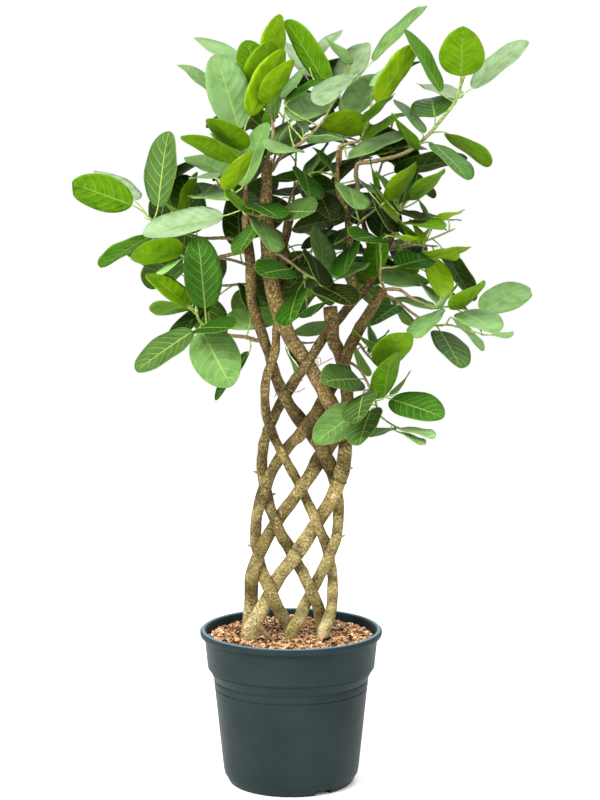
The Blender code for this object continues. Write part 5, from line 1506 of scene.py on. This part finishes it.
def bark_material():
    """Fig bark, grown: thin grey-tan bark, paler at the feet, with mottling and corky dots.

    It darkens upwards, partly as browner young wood and partly as painted shade under the crown.
    It has faint ring wrinkles and a thin green film. Its hollows are darker, partly with moss and
    partly with painted shade, and it is darker where stems have grown together, a painted shade.
    Pale cream flecks are partly paler bark and partly painted highlights. The mottling is 4 mm
    wide and worn in patches of 32 mm, the dots are 6 mm apart and the ring wrinkles 9 mm long
    and 2.6 mm high. The film drifts over 59 mm and the bark's own tone over 42 mm.
    """
    made, tree, shader = new_material("smooth fig bark", 0.80, 0.25)
    where = add_node(tree, PLACE).outputs["Object"]
    height = add_node(tree, PARTS, {0: where}).outputs["Z"]
    # Darker upwards: partly browner young wood, partly painted shade under the crown
    drift = add_node(tree, NOISE, {"Vector": where, "Scale": 24.0, "Detail": 4.0})
    level = add_node(tree, SUM, {0: drift, 1: 0.30, 2: height}, operation="MULTIPLY_ADD")
    share = add_node(tree, SCALED, {"Value": level, "From Min": 0.38, "From Max": 1.15})
    colour = add_node(tree, BAND, {0: share}, (
        (0.0, "#d4c79d"), (0.08, "#bbac79"), (0.22, "#9c8c5a"), (0.50, "#8b7940"),
        (0.75, "#836b39"), (1.0, "#796234")))
    mottle = add_node(tree, NOISE, {"Vector": where, "Scale": 250.0, "Detail": 6.0,
                                    "Roughness": 0.66})
    patches = add_node(tree, NOISE, {"Vector": where, "Scale": 31.0, "Detail": 3.0})
    worn = add_node(tree, SCALED, {"Value": patches, "From Min": 0.40, "From Max": 0.62,
                                   "To Min": 0.45, "To Max": 1.0})
    dark = add_node(tree, BAND, {0: mottle}, (
        (0.34, "#45391f"), (0.41, "#a69c7c"), (0.48, "#ece6d6"), (0.58, "#ffffff")))
    colour = add_node(tree, LAYERS, {0: worn, 6: colour, 7: dark}, data_type="RGBA",
                      blend_type="MULTIPLY")
    # Pale cream flecks: partly paler bark and partly painted highlights
    pale = add_node(tree, BAND, {0: mottle}, ((0.53, "#000000"), (0.63, "#b4b4b4")))
    colour = add_node(tree, LAYERS, {0: pale, 6: colour, 7: "#ddd5bf"}, data_type="RGBA")
    flat = add_node(tree, "ShaderNodeMapping", {"Vector": where, "Scale": (110.0, 110.0, 380.0)})
    rings = add_node(tree, NOISE, {"Vector": flat, "Scale": 1.0, "Detail": 3.0})
    dots = add_node(tree, CELLS, {"Vector": where, "Scale": 170.0})
    film = add_node(tree, NOISE, {"Vector": where, "Scale": 17.0, "Detail": 4.0})
    grain = add_node(tree, PARTS, {0: add_node(tree, ATTRIBUTE, attribute_name="grain")})
    # Each layer's strength, what it follows, and its shade where that is low and high: the ring
    # wrinkles, the corky dots, the green film, the hollows, darker with moss and painted shade, and
    # the stem's tone, darker with painted shade where stems have grown together
    for strength, source, *shades in (
            (0.35, rings, (0.34, "#857a5c"), (0.48, "#ffffff")),
            (0.85, dots, (0.13, "#2b200c"), (0.25, "#ffffff")),
            (0.8, film, (0.44, "#ffffff"), (0.64, "#c6c499")),
            (0.6, grain, (0.25, "#6c6243"), (0.55, "#ffffff")),
            (1.0, grain.outputs["Z"], (0.1, "#8d8866"), (0.9, "#ffffff"))):
        shade = add_node(tree, BAND, {0: source}, shades)
        colour = add_node(tree, LAYERS, {0: strength, 6: colour, 7: shade}, data_type="RGBA",
                          blend_type="MULTIPLY")
    relief = add_node(tree, SUM, {0: rings, 1: 0.4, 2: mottle}, operation="MULTIPLY_ADD")
    bump = add_node(tree, RELIEF, {"Height": relief, "Strength": 0.8, "Distance": 0.0022})
    feed(tree, shader, {"Base Color": colour, "Normal": bump})
    return made


# Pot and soil

def pot_material():
    """Moulded polypropylene: dark slate green with a satin skin and faint dust, with a painted
    highlight along the lip's top.

    The dust drifts over 110 mm, its flecks are 1 to 2 mm wide and 9 mm apart, and the rubs are
    25 mm long and 2.5 mm high. The skin's grain is drawn 1.1 mm wide, as coarse as it needs to
    show.
    """
    plastic = bpy.context.scene.fig_pot
    made, tree, shader = new_material("moulded polypropylene", 0.46, 0.06)
    where = add_node(tree, PLACE).outputs["Object"]
    dust = add_node(tree, NOISE, {"Vector": where, "Scale": 9.0, "Detail": 6.0,
                                  "Roughness": 0.6})
    colour = add_node(tree, BAND, {0: dust},
                      ((0.30, plastic.clean), (0.55, plastic.usual), (0.75, plastic.dusty)))
    # A painted highlight along the lip's top, stronger towards its crest
    height = add_node(tree, PARTS, {0: where}).outputs["Z"]
    lip_highlight = add_node(tree, SCALED, {"Value": height, "From Min": 0.2878, "From Max": 0.2896,
                                  "To Max": 0.85})
    colour = add_node(tree, LAYERS, {0: lip_highlight, 6: colour, 7: plastic.lip_highlight}, data_type="RGBA")
    grit = add_node(tree, CELLS, {"Vector": where, "Scale": 110.0})
    flecks = add_node(tree, BAND, {0: grit}, ((0.05, "#3a4748"), (0.10, "#000000")))
    colour = add_node(tree, LAYERS, {0: 0.35, 6: colour, 7: flecks}, data_type="RGBA",
                      blend_type="ADD")
    rubs = add_node(tree, "ShaderNodeMapping", {"Vector": where, "Scale": (40.0, 40.0, 400.0)})
    fine = add_node(tree, NOISE, {"Vector": rubs, "Scale": 1.0, "Detail": 4.0})
    rough = add_node(tree, SCALED, {"Value": fine, "To Min": 0.34, "To Max": 0.52})
    skin = add_node(tree, NOISE, {"Vector": where, "Scale": 900.0, "Detail": 2.0})
    relief = add_node(tree, SUM, {0: skin, 1: 0.6, 2: fine}, operation="MULTIPLY_ADD")
    bump = add_node(tree, RELIEF, {"Height": relief, "Strength": 0.10, "Distance": 0.0006})
    feed(tree, shader, {"Base Color": colour, "Roughness": rough, "Normal": bump})
    return made


def soil_material():
    """Coir and fine bark dust, milled and moist: dark brown and rough, with 4 mm crumbs."""
    return grained_material(
        "moist coir", (0.95, 0.2), (260.0, 6.0),
        ((0.32, "#24180e"), (0.50, "#6a4a30"), (0.68, "#b48d66")), (1.0, 0.002))


def chip_material():
    """Bark and coir chips, shredded and dry: fibrous bits, each with its own brown and grain.

    The grain is drawn 1.7 mm wide, as coarse as it needs to show.
    """
    return grained_material("bark and coir chips", (0.9, 0.25), (600.0, 3.0),
                            ((0.35, "#7c7268"), (0.60, "#ffffff")), (0.6, 0.0006), 1.0)


def spun_pot():
    """The pot's shell: its section spun round and sealed."""
    count = len(POT_SECTION)
    pot = added(bpy.ops.mesh.primitive_circle_add, vertices=count, radius=0.1)
    bpy.ops.object.mode_set(mode="EDIT")
    bpy.ops.mesh.select_all(action="SELECT")
    bpy.ops.mesh.delete(type="EDGE_FACE")
    bpy.ops.object.mode_set(mode="OBJECT")
    mesh = pot.data
    move_vertices(mesh, [(radius, 0, height) for radius, height in POT_SECTION])
    mesh.edges.add(count - 1)
    for number, edge in enumerate(mesh.edges):
        edge.vertices = (number, number + 1)
    mesh.update()
    bpy.ops.object.mode_set(mode="EDIT")
    bpy.ops.mesh.select_all(action="SELECT")
    bpy.ops.mesh.spin(steps=POT_STEPS, angle=2 * math.pi, center=(0, 0, 0), axis=(0, 0, 1))
    sealed()
    return pot


def cut(piece, cutter):
    """Cut one solid out of a piece."""
    modified(piece, "BOOLEAN", operation="DIFFERENCE", object=cutter, solver="EXACT")
    bpy.data.objects.remove(cutter, do_unlink=True)


def scattered_chips(draw):
    """Thousands of chips and fibres on the soil, each a tapered sliver with its own brown."""
    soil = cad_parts["soil"]
    corners = [vertex.co.copy() for vertex in soil.data.vertices]
    ground = BVHTree.FromPolygons(corners, [tuple(face.vertices) for face in soil.data.polygons])
    sliver = added(bpy.ops.mesh.primitive_cube_add, size=1)
    box = coordinates(sliver.data)
    sides = [tuple(face.vertices) for face in sliver.data.polygons]
    bpy.data.objects.remove(sliver, do_unlink=True)
    points, faces, tones = [], [], []
    for number in range(CHIPS):
        angle, reach = draw.uniform(0, 2 * math.pi), SOIL_REACH * math.sqrt(draw.random())
        x, y = reach * math.sin(angle), reach * math.cos(angle)
        hit = ground.ray_cast(Vector((x, y, ABOVE_SOIL)), -UP)[0]
        if hit is None or hit.z < SOIL_LOWEST:
            continue
        length = draw.uniform(*(BIG_LENGTH if number < BIG_CHIPS else CHIP_LENGTH))
        wide = length * draw.uniform(*CHIP_WIDTH)
        size = Vector((length, wide, draw.uniform(*CHIP_THICK)))
        turn = Matrix.Rotation(draw.uniform(0, 2 * math.pi), 3, "Z")
        for lean, axis in CHIP_LEANS:
            turn = turn @ Matrix.Rotation(draw.gauss(0, lean), 3, axis)
        lift = draw.uniform(*CHIP_LIFT)
        first = len(points)
        corners = []
        for corner in box:
            taper = 1 + draw.uniform(*CHIP_TAPER)
            spot = corner[0] * size.x, corner[1] * size.y * taper, corner[2] * size.z * taper
            spot = turn @ Vector(spot)
            corners.append((x + spot.x, y + spot.y, hit.z + lift + spot.z))
        if max(math.hypot(*corner[:2]) for corner in corners) > WALL_REACH:
            continue
        points += corners
        faces += [tuple(first + index for index in side) for side in sides]
        colour = hex_colour(draw.choices(CHIP_BROWNS, CHIP_WEIGHTS)[0])
        shade = draw.uniform(*CHIP_SHADES)
        tones += [[c * shade for c in colour[:3]] + [1]] * len(box)
    mesh = bpy.data.meshes.new("soil_chips")
    mesh.from_pydata(points, [], faces)
    paint(mesh, "tone", tones)
    piece = bpy.data.objects.new("soil_chips", mesh)
    bpy.context.scene.collection.objects.link(piece)
    return piece


# Add-on classes

def colour_setting(name, description, text):
    """A colour that a user can change, with an sRGB hex colour as its default."""
    return bpy.props.FloatVectorProperty(
        name=name, description=description, subtype="COLOR", size=4, min=0, max=1,
        default=hex_colour(text))


class FigPotSettings(bpy.types.PropertyGroup):
    """Colours of the pot's plastic and of the painted highlight on its lip."""

    clean: colour_setting("Clean", "Plastic where no dust lies", "#1b2526")
    usual: colour_setting("Plastic", "Most of the pot", "#202b2c")
    dusty: colour_setting("Dusty", "Plastic under a film of dust", "#242f30")
    # The lip's colour is a painted highlight along its top
    lip_highlight: colour_setting("Lip", "The lip's top, painted paler as a highlight", "#5f7b88")


class FigLeafSettings(bpy.types.PropertyGroup):
    """Sizes of the blades and the colour of their veins."""

    vein_colour: colour_setting("Vein colour", "The midrib and the side veins", "#a9bd62")
    thickness: bpy.props.FloatProperty(
        name="Thickness", description="Thickness of a blade",
        default=0.0007, min=0.0003, unit="LENGTH")
    wave_height: bpy.props.FloatProperty(
        name="Wave", description="Height of the waves along a blade's edge",
        default=0.0014, unit="LENGTH")
    rib_height: bpy.props.FloatProperty(
        name="Midrib", description="How far the midrib stands out below",
        default=0.0011, unit="LENGTH")
    vein_strength: bpy.props.FloatProperty(
        name="Veins", description="How pale the veins are against the blade",
        default=0.85, min=0, max=1, subtype="FACTOR")


class FigStemSettings(bpy.types.PropertyGroup):
    """Sizes of the bark's relief."""

    lumps: bpy.props.FloatProperty(
        name="Lumps", description="Height of the broad lumps", default=0.0016, unit="LENGTH")
    wrinkles: bpy.props.FloatProperty(
        name="Wrinkles", description="Height of the ring wrinkles", default=0.0003, unit="LENGTH")


class FigStageSettings(bpy.types.PropertyGroup):
    """The lights, the white surroundings and the camera's lens."""

    key_power: bpy.props.FloatProperty(
        name="Key light", description="Power of the main soft light", default=230, unit="POWER")
    fill_power: bpy.props.FloatProperty(
        name="Fill light", description="Power of the second soft light", default=55, unit="POWER")
    back_power: bpy.props.FloatProperty(
        name="Back light", description="Power of the soft light behind", default=70, unit="POWER")
    sky: bpy.props.FloatProperty(
        name="Surroundings", description="Brightness of the white surroundings", default=1.0, min=0)
    lens: bpy.props.FloatProperty(
        name="Lens", description="Focal length for a 36 mm frame", default=VIEW_FOCAL * 36 / 800,
        unit="CAMERA")


class FIG_OT_pot(bpy.types.Operator):
    """Build the moulded nursery pot"""

    bl_idname = "fig.pot"
    bl_label = "Pot"

    def execute(self, context):
        """Spin the section, round its rims, cut the notches and drain holes."""
        pot = spun_pot()
        modified(pot, "BEVEL", width=RIM_WIDTH, segments=2, limit_method="ANGLE",
                 angle_limit=math.radians(RIM_ANGLE))
        reach = FOOT_RADIUS - 0.002
        for degrees in NOTCH_ANGLES:
            turn = math.radians(degrees)
            cut(pot, added(
                bpy.ops.mesh.primitive_cube_add, size=1, rotation=(0, 0, turn),
                scale=(NOTCH_WIDTH, NOTCH_DEEP, NOTCH_HEIGHT + 0.004),
                location=(reach * math.sin(turn), -reach * math.cos(turn),
                          NOTCH_HEIGHT / 2 - 0.002)))
        for number in range(DRAIN_COUNT):
            angle = 2 * math.pi * (number + 0.5) / DRAIN_COUNT
            cut(pot, added(
                bpy.ops.mesh.primitive_cylinder_add, vertices=32, radius=DRAIN_RADIUS, depth=0.03,
                location=(DRAIN_CIRCLE * math.sin(angle), DRAIN_CIRCLE * math.cos(angle),
                          FLOOR_TOP)))
        pot.name = "nursery_pot"
        take(pot)
        bpy.ops.object.shade_smooth_by_angle(angle=math.radians(POT_SMOOTH))
        pot.data.materials.append(pot_material())
        settle(pot, "pot", "pot")
        return {"FINISHED"}


class FIG_OT_soil(bpy.types.Operator):
    """Give the soil its finish and scatter bark chips over it"""

    bl_idname = "fig.soil"
    bl_label = "Soil"

    def execute(self, context):
        """Dress the packed soil and add the chips."""
        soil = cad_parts["soil"]
        soil.data.materials.clear()
        soil.data.materials.append(soil_material())
        chips = scattered_chips(random.Random(SEED))
        chips.data.materials.append(chip_material())
        settle(chips, "soil")
        return {"FINISHED"}


class FIG_OT_stems(bpy.types.Operator):
    """Build the six woven stems with their bark"""

    bl_idname = "fig.stems"
    bl_label = "Woven stems"

    def execute(self, context):
        """Wrap each stem and its branches, and join them."""
        bark = bark_material()
        for number in range(STEMS):
            draw = random.Random(SEED + number)
            wrapped = [bark_tube(rings, draw) for rings in stem_shapes(number)]
            piece = joined(f"woven_stem_{number + 1}", wrapped)
            piece.data.materials.append(bark)
            settle(piece, "bark", f"stem_{number + 1}")
        return {"FINISHED"}


class FIG_OT_ties(bpy.types.Operator):
    """Add the wires round the stems, the broken twigs and the thin roots"""

    bl_idname = "fig.ties"
    bl_label = "Wires, stubs and roots"

    def execute(self, context):
        """Lay each along its line and colour it."""
        draw = random.Random(SEED)
        wires = tubes("tie_wires", [wire_line(px, py, draw) for px, py in WIRES])
        foot = [(at(px, py, FOOT_ROOT_BACK), radius) for (px, py), radius in FOOT_ROOT]
        lines = [stub_line(*stub) for stub in STUBS] + [root_line(root) for root in ROOTS]
        roots = tubes("stubs_and_roots", lines + [foot])
        wood = twig_material()
        for piece, slot, tone in ((wires, "pot", WIRE_DARK), (roots, "bark", ROOT_TAN)):
            paint(piece.data, "tone", tone)
            piece.data.materials.append(wood)
            settle(piece, slot)
        return {"FINISHED"}


class FIG_OT_foliage(bpy.types.Operator):
    """Build every shoot with its twig, stalks and veined leaves"""

    bl_idname = "fig.foliage"
    bl_label = "Foliage"

    def execute(self, context):
        """Model one flat blade and bend a copy of it to each leaf."""
        plans = plan_crown()
        for name, tones in LEAF_LIT_TONES.items():
            count = len(plans[name]["leaves"])
            if count != len(tones):
                raise RuntimeError(f"{name} has {count} leaves and {len(tones)} tones")
        master = leaf_master()
        blade, wood = leaf_blade_material(), twig_material()
        for name, plan in plans.items():
            build_foliage(name, plan, master, blade, wood)
        bpy.data.objects.remove(master, do_unlink=True)
        return {"FINISHED"}


class FIG_OT_stage(bpy.types.Operator):
    """Set up the pale floor, the soft lights and the camera"""

    bl_idname = "fig.stage"
    bl_label = "Stage"

    def execute(self, context):
        """Add the floor, the lights, the surroundings and the camera."""
        settings = context.scene.fig_stage
        floor = added(bpy.ops.mesh.primitive_plane_add, size=8)
        floor.name = "floor"
        # Board, painted matt: an even white, faintly clouded over 330 mm
        made, tree, shader = new_material("matt white floor", 0.9, 0.2)
        where = add_node(tree, PLACE).outputs["Object"]
        mottle = add_node(tree, NOISE, {"Vector": where, "Scale": 3.0})
        colour = add_node(tree, BAND, {0: mottle}, ((0.3, "#f4f4f3"), (0.7, "#f9f9f8")))
        feed(tree, shader, {"Base Color": colour})
        floor.data.materials.append(made)
        for name, place, size in LIGHTS:
            lamp = added(bpy.ops.object.light_add, type="AREA", location=place)
            lamp.name = name + "_light"
            lamp.data.energy = getattr(settings, name + "_power")
            lamp.data.size = size
            way = LIT_PLACE - Vector(place)
            lamp.rotation_euler = way.to_track_quat("-Z", "Y").to_euler()
        world = bpy.data.worlds.new("white studio")
        context.scene.world = world
        world.use_nodes = True
        feed(world.node_tree, world.node_tree.nodes["Background"],
             {"Color": "#ffffff", "Strength": settings.sky})
        camera = added(bpy.ops.object.camera_add, location=VIEW_EYE,
                       rotation=(math.pi / 2 - VIEW_PITCH, 0, 0))
        camera.data.lens = settings.lens
        camera.data.sensor_width = 36
        camera.data.sensor_fit = "AUTO"
        context.scene.camera = camera
        context.scene.view_settings.view_transform = "Standard"
        return {"FINISHED"}


class FIG_PT_panel(bpy.types.Panel):
    """The plant's pieces, in the order they are built"""

    bl_idname = "FIG_PT_panel"
    bl_label = "Potted bengal fig"
    bl_space_type = "VIEW_3D"
    bl_region_type = "UI"
    bl_category = "Fig"

    def draw(self, context):
        """List the operators and their sizes."""
        for made in OPERATORS:
            self.layout.operator(made.bl_idname)
        for group in SETTINGS:
            box = self.layout.box()
            for name in SETTINGS[group].__annotations__:
                box.prop(getattr(context.scene, group), name)


OPERATORS = (FIG_OT_stage, FIG_OT_pot, FIG_OT_soil, FIG_OT_stems, FIG_OT_ties, FIG_OT_foliage)
SETTINGS = {
    "fig_pot": FigPotSettings, "fig_leaves": FigLeafSettings, "fig_stems": FigStemSettings,
    "fig_stage": FigStageSettings,
}


def register():
    """Register the classes and give the scene its settings."""
    for made in (*SETTINGS.values(), *OPERATORS, FIG_PT_panel):
        bpy.utils.register_class(made)
    for name, group in SETTINGS.items():
        setattr(bpy.types.Scene, name, bpy.props.PointerProperty(type=group))


def unregister():
    """Take the settings and the classes away again."""
    for name in SETTINGS:
        delattr(bpy.types.Scene, name)
    for made in (FIG_PT_panel, *OPERATORS, *SETTINGS.values()):
        bpy.utils.unregister_class(made)


def main():
    """Build everything in order."""
    register()
    bpy.ops.fig.stage()
    bpy.ops.fig.pot()
    bpy.ops.fig.soil()
    bpy.ops.fig.stems()
    bpy.ops.fig.ties()
    bpy.ops.fig.foliage()


if __name__ == "__main__":
    main()
